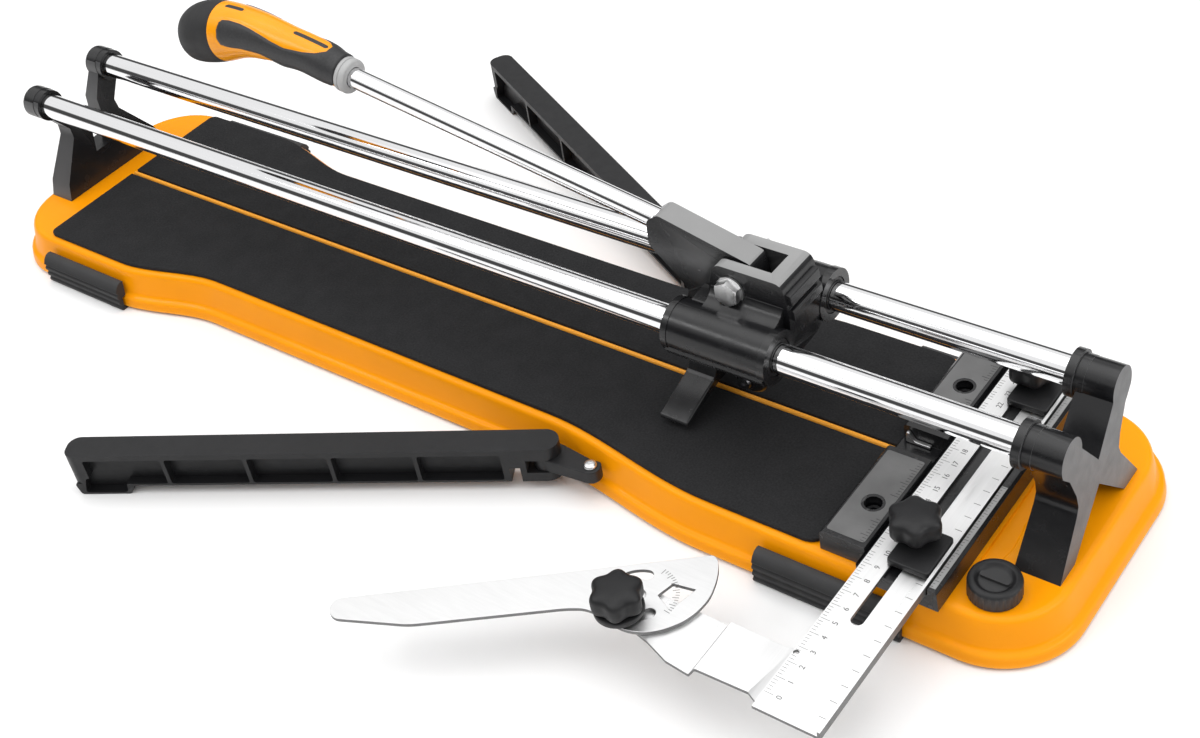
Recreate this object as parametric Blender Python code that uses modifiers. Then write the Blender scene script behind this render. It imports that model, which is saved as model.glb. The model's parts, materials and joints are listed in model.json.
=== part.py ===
"""Manual tile cutter with twin rails: a pressed tray, a carriage with lever and scoring wheel, a fence with a
sliding ruler, a mitre arm and two swing-out side supports.

X runs along the rails, from the operator's end to the fence. Y runs across, and the ruler sticks out
towards -Y. Z is up. The origin is the middle of the breaking ridge's top, the plane a tile lies on.
Lengths are in millimetres in this file and are scaled to metres where a mesh is made.
"""

import math

import bmesh
import bpy
from mathutils import Matrix, Vector

MM = 0.001
GAP = 0.3

# Driving dimensions.
CUT_LENGTH = 600.0
PAD_HALF = CUT_LENGTH / 2
RAIL_RADIUS = 8.0
RAIL_Y = 28.0
RAIL_Z = 64.4
TRAY_TOP = -3.0
TRAY_BOTTOM = -28.0
BENCH = -30.0
SHEET = 1.8
LEFT_END = -341.0
RIGHT_END = 417.0
WIDE_HALF = 81.0
WAIST_HALF = 66.0
WAIST_LEFT = (-228.0, -152.0)
WAIST_RIGHT = (118.0, 232.0)
LEFT_CORNER = 40.0
RIGHT_CORNER = 36.0

FENCE_X = 300.3
FENCE_BLOCK = (FENCE_X, 325.5)
FENCE_HALF = 78.0
FENCE_TOP = 10.0
CHANNEL_FLOOR = 6.0
FENCE_STRIP = (364.2, 370.0)
STRIP_HALF = 87.0
RULER_X = (328.0, 363.6)
RULER_BOTTOM = 6.4
RULER_SHEET = 2.0
RULER_Y = (-184.5, 86.0)
SLOT_X = 344.5
SLOT_HALF = 3.3
SLOT_Y = (-121.0, 78.0)
CLAMP_Y = (-61.0, 67.0)

PIVOT = Vector((216.5, 0.0, 87.0))
SLOT_WALL = 8.2
CARRIAGE_X = (188.0, 251.0)
CHEEK = 15.0
LEVER_HALF = 7.0
WHEEL_RADIUS = 11.0
WHEEL_CENTRE = Vector((212.0, 0.0, 14.6))
ROD_RADIUS = 6.0
ROD_START = Vector((188.0, 0.0, 100.6))
NECK = Vector((-57.0, 0.0, 141.5))

# Stations along the grip: distance from the neck, drop below the rod's axis, half height, half width.
GRIP_BODY = [
    (-5.0, -1.0, 10.2, 10.0),
    (0.0, -1.2, 10.6, 10.4),
    (7.0, -2.0, 11.5, 11.2),
    (23.0, -2.4, 11.5, 11.2),
    (35.5, -1.2, 12.3, 11.8),
    (48.0, -0.6, 13.0, 12.4),
    (61.0, 1.1, 14.4, 13.7),
    (72.5, 3.8, 15.9, 15.1),
    (82.5, 7.2, 17.2, 16.3),
    (88.3, 9.3, 17.9, 17.0),
]
GRIP_CAP = [
    (88.6, 9.4, 17.9, 17.0),
    (92.5, 11.0, 18.4, 17.5),
    (97.0, 12.8, 19.0, 18.0),
    (104.0, 15.5, 19.6, 18.7),
    (110.0, 17.3, 19.1, 18.2),
    (116.0, 18.2, 16.6, 15.8),
    (121.5, 18.7, 12.2, 11.6),
    (125.5, 19.0, 6.8, 6.5),
    (127.3, 19.1, 2.9, 2.8),
]

ARM_PIVOT = (129.0, 82.8)
ARM_WIDTH = 17.0
LUG_SCREW = (158.0, 80.6)
LUG_Z = (-16.9, -8.7)
ARM_BOTTOM = -23.6
ARM_REACH = {"front": 281.0, "rear": 316.0}
ARM_ANGLE = {"front": 29.0, "rear": 27.4}

MITRE_PIVOT = (243.0, -153.0)
MITRE_ANGLE = 37.7
MITRE_BOLT_RADIUS = 13.3
MITRE_BOLT_ANGLE = 43.0
MITRE_SLOT = (-112.0, 110.0)
MITRE_FLOOR = 0.6
MITRE_SHEET_END = 345.0

CAP_CENTRE = (387.2, -62.6)

COLOURS = {
    "orange_paint": ((0.95, 0.42, 0.02), 0.35, 0.0),
    "eva_foam": ((0.045, 0.045, 0.045), 0.9, 0.0),
    "black_rubber": ((0.02, 0.02, 0.02), 0.8, 0.0),
    "black_casting": ((0.03, 0.03, 0.032), 0.5, 0.2),
    "black_plastic": ((0.025, 0.025, 0.027), 0.45, 0.0),
    "grey_plastic": ((0.55, 0.55, 0.54), 0.5, 0.0),
    "orange_plastic": ((0.95, 0.36, 0.01), 0.4, 0.0),
    "soft_grip": ((0.03, 0.03, 0.03), 0.75, 0.0),
    "chrome": ((0.85, 0.85, 0.86), 0.08, 1.0),
    "zinc_steel": ((0.66, 0.66, 0.65), 0.3, 1.0),
    "bright_steel": ((0.8, 0.8, 0.8), 0.28, 1.0),
    "carbide": ((0.3, 0.3, 0.32), 0.25, 1.0),
    "nylon": ((0.75, 0.74, 0.7), 0.6, 0.0),
}


# ---------------------------------------------------------------- scene and materials
def clear_scene():
    for obj in list(bpy.data.objects):
        bpy.data.objects.remove(obj)


def collection(name):
    made = bpy.data.collections.new(name)
    bpy.context.scene.collection.children.link(made)
    return made


def make_material(name):
    colour, roughness, metallic = COLOURS[name]
    made = bpy.data.materials.new(name)
    made.use_nodes = True
    shader = made.node_tree.nodes["Principled BSDF"]
    shader.inputs["Base Color"].default_value = (*colour, 1.0)
    shader.inputs["Roughness"].default_value = roughness
    shader.inputs["Metallic"].default_value = metallic
    return made


clear_scene()
PARTS = collection("tile_cutter")
CUTTERS = collection("cutters")
MATERIALS = {name: make_material(name) for name in COLOURS}


# ---------------------------------------------------------------- making meshes
def finish_mesh(name, mesh_builder, material, home=None):
    """A new object from a bmesh in millimetres, facing out."""
    bmesh.ops.recalc_face_normals(mesh_builder, faces=mesh_builder.faces)
    bmesh.ops.scale(mesh_builder, vec=(MM, MM, MM), verts=mesh_builder.verts)
    mesh = bpy.data.meshes.new(name)
    mesh_builder.to_mesh(mesh)
    mesh_builder.free()
    mesh.shade_smooth()
    mesh.set_sharp_from_angle(angle=math.radians(32))
    obj = bpy.data.objects.new(name, mesh)
    (home or PARTS).objects.link(obj)
    if material:
        mesh.materials.append(MATERIALS[material])
    return obj


def add_box(builder, low, high):
    size = [b - a for a, b in zip(low, high)]
    middle = [(a + b) / 2 for a, b in zip(low, high)]
    matrix = Matrix.Translation(middle) @ Matrix.Diagonal((*size, 1))
    bmesh.ops.create_cube(builder, size=1, matrix=matrix)


def add_cylinder(builder, start, end, radius, sides=24, end_radius=None):
    start = Vector(start)
    along = Vector(end) - start
    turn = along.to_track_quat("Z", "Y").to_matrix().to_4x4()
    bmesh.ops.create_cone(
        builder,
        cap_ends=True,
        segments=sides,
        radius1=radius,
        radius2=radius if end_radius is None else end_radius,
        depth=along.length,
        matrix=Matrix.Translation(start + along / 2) @ turn,
    )


def box(name, low, high, material=None, home=None, bevel=0.0):
    builder = bmesh.new()
    add_box(builder, low, high)
    made = finish_mesh(name, builder, material, home)
    if bevel:
        round_edges(made, bevel)
    return made


def cylinder(name, start, end, radius, material=None, home=None, sides=24, bevel=0.0):
    builder = bmesh.new()
    add_cylinder(builder, start, end, radius, sides)
    made = finish_mesh(name, builder, material, home)
    if bevel:
        round_edges(made, bevel)
    return made


def round_edges(obj, width, segments=1):
    bevel = obj.modifiers.new("round_edges", "BEVEL")
    bevel.width = width * MM
    bevel.segments = segments
    bevel.limit_method = "ANGLE"
    bevel.angle_limit = math.radians(50)
    return bevel


def prism(name, outline, low, high, place=None, material=None, home=None):
    """A flat outline of (u, v) points pulled from low to high along its normal, then placed by a matrix."""
    builder = bmesh.new()
    ring = [builder.verts.new((u, v, low)) for u, v in outline]
    face = builder.faces.new(ring)
    pulled = bmesh.ops.extrude_face_region(builder, geom=[face])["geom"]
    moved = [v for v in pulled if isinstance(v, bmesh.types.BMVert)]
    bmesh.ops.translate(builder, vec=(0, 0, high - low), verts=moved)
    if place:
        bmesh.ops.transform(builder, matrix=place, verts=builder.verts)
    return finish_mesh(name, builder, material, home)


# These turn an outline's (u, v) and its pull direction into X, Y and Z.
ACROSS_X = Matrix(((0, 0, 1, 0), (1, 0, 0, 0), (0, 1, 0, 0), (0, 0, 0, 1)))
ACROSS_Y = Matrix(((1, 0, 0, 0), (0, 0, 1, 0), (0, 1, 0, 0), (0, 0, 0, 1)))


def turned(name, profile, place, material, steps=28):
    """A profile of (radius, height) points, down its outer side, turned about the Z axis of place."""
    mesh = bpy.data.meshes.new(name)
    points = [(r * MM, 0, h * MM) for r, h in profile]
    mesh.from_pydata(points, [(i, i + 1) for i in range(len(points) - 1)], [])
    obj = bpy.data.objects.new(name, mesh)
    PARTS.objects.link(obj)
    mesh.materials.append(MATERIALS[material])
    screw = obj.modifiers.new("turn", "SCREW")
    screw.steps = screw.render_steps = steps
    screw.use_merge_vertices = True
    screw.merge_threshold = 0.00001
    obj.matrix_world = place
    return obj


def standing(x, y, z=0.0):
    return Matrix.Translation(Vector((x, y, z)) * MM)


def lying_y(x, y, z):
    """A place whose Z axis points along +Y."""
    return standing(x, y, z) @ Matrix.Rotation(-math.pi / 2, 4, "X")


def boolean(obj, other, operation="DIFFERENCE"):
    cut = obj.modifiers.new(operation.lower(), "BOOLEAN")
    cut.operation = operation
    cut.object = other
    cut.solver = "EXACT"
    other.hide_render = True
    other.display_type = "WIRE"
    return obj


def cutter_of(name, *shapes):
    """One cutter made of several separate boxes or cylinders, each given as (function, arguments)."""
    builder = bmesh.new()
    for add, arguments in shapes:
        add(builder, *arguments)
    return finish_mesh(name, builder, None, CUTTERS)


def give_origin(obj, point):
    """Moves the object's origin to a point in millimetres, and leaves its shape where it is."""
    point = Vector(point) * MM
    obj.data.transform(Matrix.Translation(-point))
    obj.location = point
    return obj


# ---------------------------------------------------------------- outlines
def arc(centre, radius, start, end, steps):
    """Points on an arc, from one angle to another in degrees."""
    return [
        (
            centre[0] + radius * math.cos(math.radians(start + (end - start) * i / steps)),
            centre[1] + radius * math.sin(math.radians(start + (end - start) * i / steps)),
        )
        for i in range(steps + 1)
    ]


def smooth(t):
    t = min(max(t, 0.0), 1.0)
    return t * t * (3 - 2 * t)


def half_width(x, wide, waist):
    """The dog-bone's half width at x: wide at both ends, narrow between the two S-curves."""
    left = 1 - smooth((x - WAIST_LEFT[0]) / (WAIST_LEFT[1] - WAIST_LEFT[0]))
    right = smooth((x - WAIST_RIGHT[0]) / (WAIST_RIGHT[1] - WAIST_RIGHT[0]))
    return waist + (wide - waist) * max(left, right)


def waist_stations():
    """X positions along one side, close together only where the side curves."""
    left = [WAIST_LEFT[0] + (WAIST_LEFT[1] - WAIST_LEFT[0]) * i / 6 for i in range(7)]
    right = [WAIST_RIGHT[0] + (WAIST_RIGHT[1] - WAIST_RIGHT[0]) * i / 6 for i in range(7)]
    return left + right


def tray_outline(grow):
    """The tray's plan, grown outwards by a distance, counter-clockwise from the front left."""
    front = [(x, -half_width(x, WIDE_HALF, WAIST_HALF) - grow) for x in waist_stations()]
    corner = RIGHT_CORNER
    right = arc((RIGHT_END - corner, corner - WIDE_HALF), corner + grow, -90, 0, 6)
    right += arc((RIGHT_END - corner, WIDE_HALF - corner), corner + grow, 0, 90, 6)
    rear = [(x, -y) for x, y in reversed(front)]
    corner = LEFT_CORNER
    left = arc((LEFT_END + corner, WIDE_HALF - corner), corner + grow, 90, 180, 6)
    left += arc((LEFT_END + corner, corner - WIDE_HALF), corner + grow, 180, 270, 6)
    return front + right + rear + left


def rounded_bar(length, width, steps=8):
    """A bar from the origin along +U with a half-round end at the origin and a rounded square far end."""
    half = width / 2
    corner = half * 0.8
    start = arc((0, 0), half, 270, 90, steps)
    top = arc((length - corner, half - corner), corner, 90, 0, 4)
    bottom = arc((length - corner, corner - half), corner, 0, -90, 4)
    return start + top + bottom


def hexagon(centre, across_flats):
    radius = across_flats / math.sqrt(3)
    return arc(centre, radius, 30, 330, 5)


# ---------------------------------------------------------------- base tray
def tray():
    """An inverted pan of pressed sheet: flat top, flared wall, a bead and a flat lip at the bottom."""
    steps = [
        (TRAY_TOP, -2.4),
        (TRAY_TOP - 0.7, -0.7),
        (TRAY_TOP - 2.4, 0.3),
        (-21.0, 4.6),
        (-22.6, 6.6),
        (-24.6, 7.6),
        (TRAY_BOTTOM, 8.8),
    ]
    builder = bmesh.new()
    rings = [[builder.verts.new((x, y, z)) for x, y in tray_outline(grow)] for z, grow in steps]
    for upper, lower in zip(rings, rings[1:]):
        for i in range(len(upper)):
            j = (i + 1) % len(upper)
            builder.faces.new((upper[i], lower[i], lower[j], upper[j]))
    builder.faces.new(rings[0])
    made = finish_mesh("base_tray", builder, "orange_paint")
    wall = made.modifiers.new("sheet", "SOLIDIFY")
    wall.thickness = SHEET * MM
    wall.offset = -1
    wall.use_even_offset = True
    holes = [
        (add_cylinder, ((x, y, -12), (x, y, 6), 3.4, 12))
        for x, y in bracket_screws() + fence_screws()
    ]
    boolean(made, cutter_of("tray_holes", *holes))
    return made


def bracket_screws():
    return [(-328.0, -34.0), (-328.0, 34.0), (400.0, -33.5), (400.0, 33.5)]


def fence_screws():
    return [(314.5, -49.0), (314.5, 49.0)]


def pad(name, side):
    """A foam sheet whose outer edge follows the tray and whose inner edge runs along the ridge."""
    inner = 2.4
    near, far = 5.0, 10.0
    edge = [(x, half_width(x, WIDE_HALF - 3, WAIST_HALF - 3)) for x in waist_stations()]
    outer = WIDE_HALF - 3
    start = arc((-PAD_HALF + near, outer - near), near, 180, 90, 4)
    end = arc((PAD_HALF - far, outer - far), far, 90, 0, 5)
    outline = [(-PAD_HALF, inner)] + start + edge + end + [(PAD_HALF, inner)]
    outline = [(x, side * y) for x, y in outline]
    return prism(name, outline, TRAY_TOP + GAP, -0.1, material="eva_foam")


def ridge():
    return box(
        "breaking_ridge",
        (-PAD_HALF + 1, -1.9, TRAY_TOP + GAP),
        (PAD_HALF - 1, 1.9, 0),
        "orange_paint",
    )


def rubber_foot(name, x_range, side):
    """A rubber channel pushed over the tray's bottom lip. Its outline is in Y and Z."""
    outline = [
        (80.5, BENCH),
        (92.2, BENCH),
        (93.6, -28.6),
        (93.6, -15.0),
        (91.6, -11.6),
        (87.4, -9.8),
        (85.2, -10.6),
        (86.6, -20.8),
        (90.4, -24.4),
        (90.9, -28.6),
        (84.6, -28.6),
        (84.6, -24.0),
        (80.5, -24.0),
    ]
    outline = [(side * y, z) for y, z in outline]
    return prism(name, outline, *x_range, ACROSS_X, "black_rubber")


# ---------------------------------------------------------------- rail brackets
def bracket_half_left():
    """Y and Z of the left bracket's +Y half: foot, waist, rail socket, and the gap between the posts."""
    outside = [(44.0, TRAY_TOP + GAP), (40.0, 8.0), (21.0, 34.0), (20.5, 41.0), (30.0, 54.0)]
    socket = arc((RAIL_Y, RAIL_Z), 10.8, -20, 190, 12)
    inside = [(8.0, 48.0), (6.0, 30.0), (9.5, 17.0)]
    return outside + socket + inside


def bracket_half_right():
    """The same for the right bracket, whose legs leave a triangle open between them."""
    outside = [(45.0, TRAY_TOP + GAP), (23.5, 27.0), (23.0, 34.0), (31.0, 52.5)]
    socket = arc((RAIL_Y, RAIL_Z), 10.8, -30, 190, 12)
    return outside + socket + [(0.0, 41.0)]


def mirrored(half, middle):
    """A whole outline from its +Y half, which runs from the foot up to the middle."""
    return half + [(-y, z) for y, z in reversed(half) if y > 0.01] + middle


def lean_back(obj, from_x, above, slope):
    """Splits the casting's faces at a height, and slopes the +X face back above it."""
    builder = bmesh.new()
    builder.from_mesh(obj.data)
    everything = builder.verts[:] + builder.edges[:] + builder.faces[:]
    bmesh.ops.bisect_plane(builder, geom=everything, plane_co=(0, 0, above * MM), plane_no=(0, 0, 1))
    for vertex in builder.verts:
        if vertex.co.x > from_x * MM:
            vertex.co.x -= slope * max(vertex.co.z - above * MM, 0)
    builder.to_mesh(obj.data)
    builder.free()


def left_bracket():
    outline = mirrored(bracket_half_left(), [])
    made = prism("left_rail_bracket", outline, -338.0, -318.0, ACROSS_X, "black_casting")
    lean_back(made, from_x=-328.0, above=TRAY_TOP, slope=0.15)
    holes = []
    for side in (-1, 1):
        barrel = cylinder(
            f"left_socket_{side}",
            (-339.5, side * RAIL_Y, RAIL_Z),
            (-324.0, side * RAIL_Y, RAIL_Z),
            10.4,
            home=CUTTERS,
        )
        boolean(made, barrel, "UNION")
        holes.append(rail_bore(-336.5, -300.0, side))
    holes += screw_bores(bracket_screws()[:2])
    return boolean(made, cutter_of("left_bracket_holes", *holes))


def rail_bore(start, end, side):
    """The blind hole that a rail's end sits in."""
    low = (start, side * RAIL_Y, RAIL_Z)
    return add_cylinder, (low, (end, side * RAIL_Y, RAIL_Z), RAIL_RADIUS + GAP)


def screw_bores(points):
    return [(add_cylinder, ((x, y, -20), (x, y, 6.5), 3.1, 12)) for x, y in points]


def right_bracket():
    legs = [(-29.0, TRAY_TOP + GAP), (0.0, 25.5), (29.0, TRAY_TOP + GAP)]
    outline = mirrored(bracket_half_right(), legs)
    made = prism("right_rail_bracket", outline, 388.5, 412.5, ACROSS_X, "black_casting")
    lean_back(made, from_x=400.0, above=TRAY_TOP, slope=0.07)
    holes = []
    for side in (-1, 1):
        collar = cylinder(
            f"right_collar_{side}",
            (382.5, side * RAIL_Y, RAIL_Z),
            (387.0, side * RAIL_Y, RAIL_Z),
            12.6,
            home=CUTTERS,
        )
        barrel = cylinder(
            f"right_socket_{side}",
            (386.0, side * RAIL_Y, RAIL_Z),
            (392.0, side * RAIL_Y, RAIL_Z),
            11.6,
            home=CUTTERS,
        )
        boolean(made, collar, "UNION")
        boolean(made, barrel, "UNION")
        holes.append(rail_bore(370.0, 396.0, side))
    holes += screw_bores(bracket_screws()[2:])
    return boolean(made, cutter_of("right_bracket_holes", *holes))


def pan_screw(name, x, y, top):
    """A screw driven up from under the tray: its head lies against the sheet's underside."""
    under = TRAY_TOP - SHEET - GAP
    profile = [(0, top), (2.6, top), (2.6, under), (5.2, under - 0.6), (4.2, under - 3.0), (0, under - 3.4)]
    return turned(name, profile, standing(x, y), "zinc_steel", steps=12)


def rails():
    for name, side in (("front_rail", -1), ("rear_rail", 1)):
        start = (-336.2, side * RAIL_Y, RAIL_Z)
        end = (395.5, side * RAIL_Y, RAIL_Z)
        cylinder(name, start, end, RAIL_RADIUS, "chrome", sides=28)


# ---------------------------------------------------------------- fence, ruler and clamps
def fence():
    """One casting: the stop block with the wheel notch, the ruler's channel and the scale strip."""
    base = TRAY_TOP + GAP
    outline = [
        (FENCE_BLOCK[0], base),
        (FENCE_STRIP[1], base),
        (FENCE_STRIP[1] - 0.8, FENCE_TOP - 1.5),
        (FENCE_STRIP[1] - 2.2, FENCE_TOP),
        (FENCE_STRIP[0], FENCE_TOP),
        (FENCE_STRIP[0], CHANNEL_FLOOR),
        (FENCE_BLOCK[1] + 0.8, CHANNEL_FLOOR),
        (FENCE_BLOCK[1], FENCE_TOP),
        (FENCE_BLOCK[0] + 1.4, FENCE_TOP),
        (FENCE_BLOCK[0], FENCE_TOP - 1.4),
    ]
    made = prism("fence_base", outline, -STRIP_HALF, STRIP_HALF, ACROSS_Y, "black_casting")
    far = 200
    block_end = FENCE_BLOCK[1] + 0.4
    shapes = [(add_box, ((280, -8.5, 0.6), (block_end, 8.5, 30)))]
    for side in (-1, 1):
        ends = sorted((side * FENCE_HALF, side * far))
        shapes.append((add_box, ((280, ends[0], -20), (block_end, ends[1], 30))))
    boolean(made, cutter_of("fence_cuts", *shapes))
    bores = [(add_cylinder, ((x, y, -20), (x, y, 30), 2.6, 12)) for x, y in fence_screws()]
    bores += [(add_cylinder, ((SLOT_X, y, -20), (SLOT_X, y, 30), 3.3, 12)) for y in CLAMP_Y]
    boolean(made, cutter_of("fence_bores", *bores))
    sinks = [(add_cylinder, ((x, y, 3.0), (x, y, 30), 4.6, 16)) for x, y in fence_screws()]
    return boolean(made, cutter_of("fence_sinks", *sinks))


def fence_screw(name, x, y):
    """A cap screw sunk in the fence, with its nut's end under the tray sheet."""
    under = TRAY_TOP - SHEET - 4
    profile = [(0, 6.8), (4.2, 6.8), (4.2, 3.3), (2.3, 3.3), (2.3, under), (0, under)]
    return turned(name, profile, standing(x, y), "zinc_steel", steps=12)


def pointer():
    """The small bent hook in the wheel notch that shows the line of the cut."""
    outline = [(0, 0), (14, 0), (14, 1.6), (5, 1.6), (5, 6.5), (0, 6.5)]
    place = Matrix.Translation((303.0, 5.7, 1.0)) @ ACROSS_Y
    return prism("cut_line_pointer", outline, 0.0, 2.4, place, "bright_steel")


def ruler():
    """A steel rule with a long slot and a raised right edge, bent down at its far end into the mitre foot."""
    top = RULER_BOTTOM + RULER_SHEET
    outline = [
        (RULER_X[0], RULER_BOTTOM),
        (RULER_X[1], RULER_BOTTOM),
        (RULER_X[1], top + 3.2),
        (RULER_X[1] - 1.6, top + 3.2),
        (RULER_X[1] - 1.6, top),
        (RULER_X[0], top),
    ]
    made = prism("ruler", outline, *RULER_Y, ACROSS_Y, "bright_steel")
    slot = prism(
        "ruler_slot",
        arc((SLOT_X, SLOT_Y[0] + SLOT_HALF), SLOT_HALF, 180, 360, 6)
        + arc((SLOT_X, SLOT_Y[1] - SLOT_HALF), SLOT_HALF, 0, 180, 6),
        0.0,
        20.0,
        home=CUTTERS,
    )
    boolean(made, slot)
    boolean(made, mitre_foot(top), "UNION")
    holes = [(add_cylinder, ((*MITRE_PIVOT, -20), (*MITRE_PIVOT, 20), 2.3, 12))]
    x, y = mitre_bolt_place()
    holes.append((add_cylinder, ((x, y, -20), (x, y, 20), 2.8, 12)))
    return boolean(made, cutter_of("mitre_foot_holes", *holes))


def mitre_foot(top):
    """The end of the rule's sheet: one slope down beside the rule, then a step down to the arm's level."""
    low = MITRE_FLOOR + RULER_SHEET
    shelf = top - 1.9
    upper = [
        (MITRE_SHEET_END, top),
        (RULER_X[0], top),
        (RULER_X[0] - 6.5, shelf),
        (292.5, shelf),
        (290.0, low),
        (224.0, low),
    ]
    lower = [(x, z - RULER_SHEET) for x, z in reversed(upper)]
    made = prism("mitre_foot", upper + lower, -186.0, -140.0, ACROSS_Y, home=CUTTERS)
    plan = [(224.0, -153.0), (229.0, -148.5), (243.0, -145.5), (350.0, -147.0), (350.0, -181.5)]
    plan += [(329.5, -181.5), (321.5, -177.3), (291.0, -177.6), (289.5, -179.8), (276.0, -178.8)]
    plan += [(262.0, -173.5), (246.0, -169.5), (233.0, -169.0), (225.0, -163.0)]
    return boolean(made, prism("mitre_foot_plan", plan, -10.0, 30.0, home=CUTTERS), "INTERSECT")


def clamp_set(which, y):
    """The stud through the ruler's slot, the clamp plate on the ruler and the star knob on top."""
    top = RULER_BOTTOM + RULER_SHEET
    under = TRAY_TOP + GAP + 0.2
    stud = [(0, 21), (2.7, 21), (2.7, under), (0, under)]
    turned(f"clamp_stud_{which}", stud, standing(SLOT_X, y), "zinc_steel", steps=12)
    plate = box(
        f"clamp_plate_{which}",
        (SLOT_X - 5.5, y - 20.0, top + GAP),
        (RULER_X[1] - 2.2, y + 8.0, top + 4.2),
        "black_plastic",
        bevel=0.8,
    )
    hole = (add_cylinder, ((SLOT_X, y, 0), (SLOT_X, y, 30), 3.1, 12))
    boolean(plate, cutter_of(f"clamp_plate_hole_{which}", hole))
    star_knob(f"clamp_knob_{which}", SLOT_X, y, top + 4.5)


def star_outline(radius, lobes, depth, steps):
    """A closed curve with rounded lobes."""
    points = []
    for i in range(lobes * steps):
        angle = 2 * math.pi * i / (lobes * steps)
        reach = radius - depth * (1 - math.cos(lobes * angle)) / 2
        points.append((reach * math.cos(angle), reach * math.sin(angle)))
    return points


def star_knob(name, x, y, base, radius=13.9, flange=7.5):
    """A six-lobed knob over a round foot, with a blind bore for its stud."""
    builder = bmesh.new()
    levels = [(3.6, 0.88), (5.2, 1.0), (12.6, 1.0), (15.3, 0.84), (16.5, 0.5)]
    outline = star_outline(radius, 6, 2.2, 8)
    rings = []
    for height, size in levels:
        z = base + height
        rings.append([builder.verts.new((u * size + x, v * size + y, z)) for u, v in outline])
    for lower, upper in zip(rings, rings[1:]):
        for i in range(len(lower)):
            j = (i + 1) % len(lower)
            builder.faces.new((lower[i], lower[j], upper[j], upper[i]))
    builder.faces.new(rings[0][::-1])
    builder.faces.new(rings[-1])
    made = finish_mesh(name, builder, "black_plastic")
    foot = cylinder(f"{name}_foot", (x, y, base), (x, y, base + 3.0), flange, home=CUTTERS, sides=24)
    neck = cylinder(f"{name}_neck", (x, y, base + 1.0), (x, y, base + 6.0), 7.0, home=CUTTERS, sides=20)
    boolean(made, neck, "UNION")
    boolean(made, foot, "UNION")
    bore = cylinder(f"{name}_bore", (x, y, base - 5), (x, y, base + 9.0), 3.1, home=CUTTERS, sides=12)
    boolean(made, bore)
    return give_origin(made, (x, y, base))


# ---------------------------------------------------------------- mitre stop
def polar(radius, angle):
    """A point on a circle about the origin, the angle in degrees."""
    return radius * math.cos(math.radians(angle)), radius * math.sin(math.radians(angle))


def mitre_bolt_place():
    x, y = polar(MITRE_BOLT_RADIUS, 180 + MITRE_ANGLE + MITRE_BOLT_ANGLE)
    return MITRE_PIVOT[0] + x, MITRE_PIVOT[1] + y


def curved_slot(radius, half, start, end):
    """The outline of a slot along an arc about the origin, with round ends."""
    outer = arc((0, 0), radius + half, start, end, 18)
    far = arc(polar(radius, end), half, end, end + 180, 6)[1:-1]
    inner = arc((0, 0), radius - half, end, start, 14)
    near = arc(polar(radius, start), half, start + 180, start + 360, 6)[1:-1]
    return outer + far + inner + near


def mitre_arm():
    """A flat arm with a broad round head. A curved slot lets it swing under the clamp knob."""
    floor = MITRE_FLOOR + 2.0 + GAP
    head = [(-38.5, -20.4), (-40.3, -17.0), (-40.2, -11.0), (-38.6, -3.5), (-34.6, 6.9), (-27.9, 14.8)]
    head += [(-20.1, 20.5), (-10.2, 23.9), (-2.0, 24.4), (7.0, 22.0), (15.0, 15.6), (21.0, 8.6), (27.0, 4.6)]
    blade = [(36.0, 3.2), (114.0, 2.2), (151.5, -7.2), (154.5, -10.5), (155.2, -15.0), (152.5, -20.4)]
    made = prism("mitre_arm", head + blade, floor, floor + 2.4, material="bright_steel")
    slot = curved_slot(MITRE_BOLT_RADIUS, 3.2, *MITRE_SLOT)
    boolean(made, prism("mitre_arm_slot", slot, -10, 30, home=CUTTERS))
    window = [(-9.2, 1.5), (-17.1, -4.8), (-28.2, 0.9), (-14.6, 12.3)]
    boolean(made, prism("mitre_arm_window", window, -10, 30, home=CUTTERS))
    hole = (add_cylinder, ((0, 0, -10), (0, 0, 30), 2.5, 12))
    boolean(made, cutter_of("mitre_arm_hole", hole))
    turn = Matrix.Rotation(math.radians(180 + MITRE_ANGLE), 4, "Z")
    place = standing(*MITRE_PIVOT) @ turn
    for obj in [made] + [m.object for m in made.modifiers]:
        obj.matrix_world = place
    return made


def mitre_fasteners():
    floor = MITRE_FLOOR
    top = floor + 2.0 + GAP + 2.4
    under = floor - GAP
    rivet = [(0, top + 1.0), (2.6, top + 0.9), (3.8, top + GAP), (2.0, top + GAP)]
    rivet += [(2.0, under), (4.0, under), (3.0, under - 1.1), (0, under - 1.3)]
    turned("mitre_pivot_rivet", rivet, standing(*MITRE_PIVOT), "zinc_steel", steps=12)
    x, y = mitre_bolt_place()
    bolt = [(0, top + 9.4), (2.5, top + 9.4), (2.5, under), (5.0, under), (4.6, under - 2.3)]
    bolt.append((0, under - 2.5))
    turned("mitre_clamp_bolt", bolt, standing(x, y), "zinc_steel", steps=12)
    star_knob("mitre_clamp_knob", x, y, top + 1.0 + GAP, flange=12.8)


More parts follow.
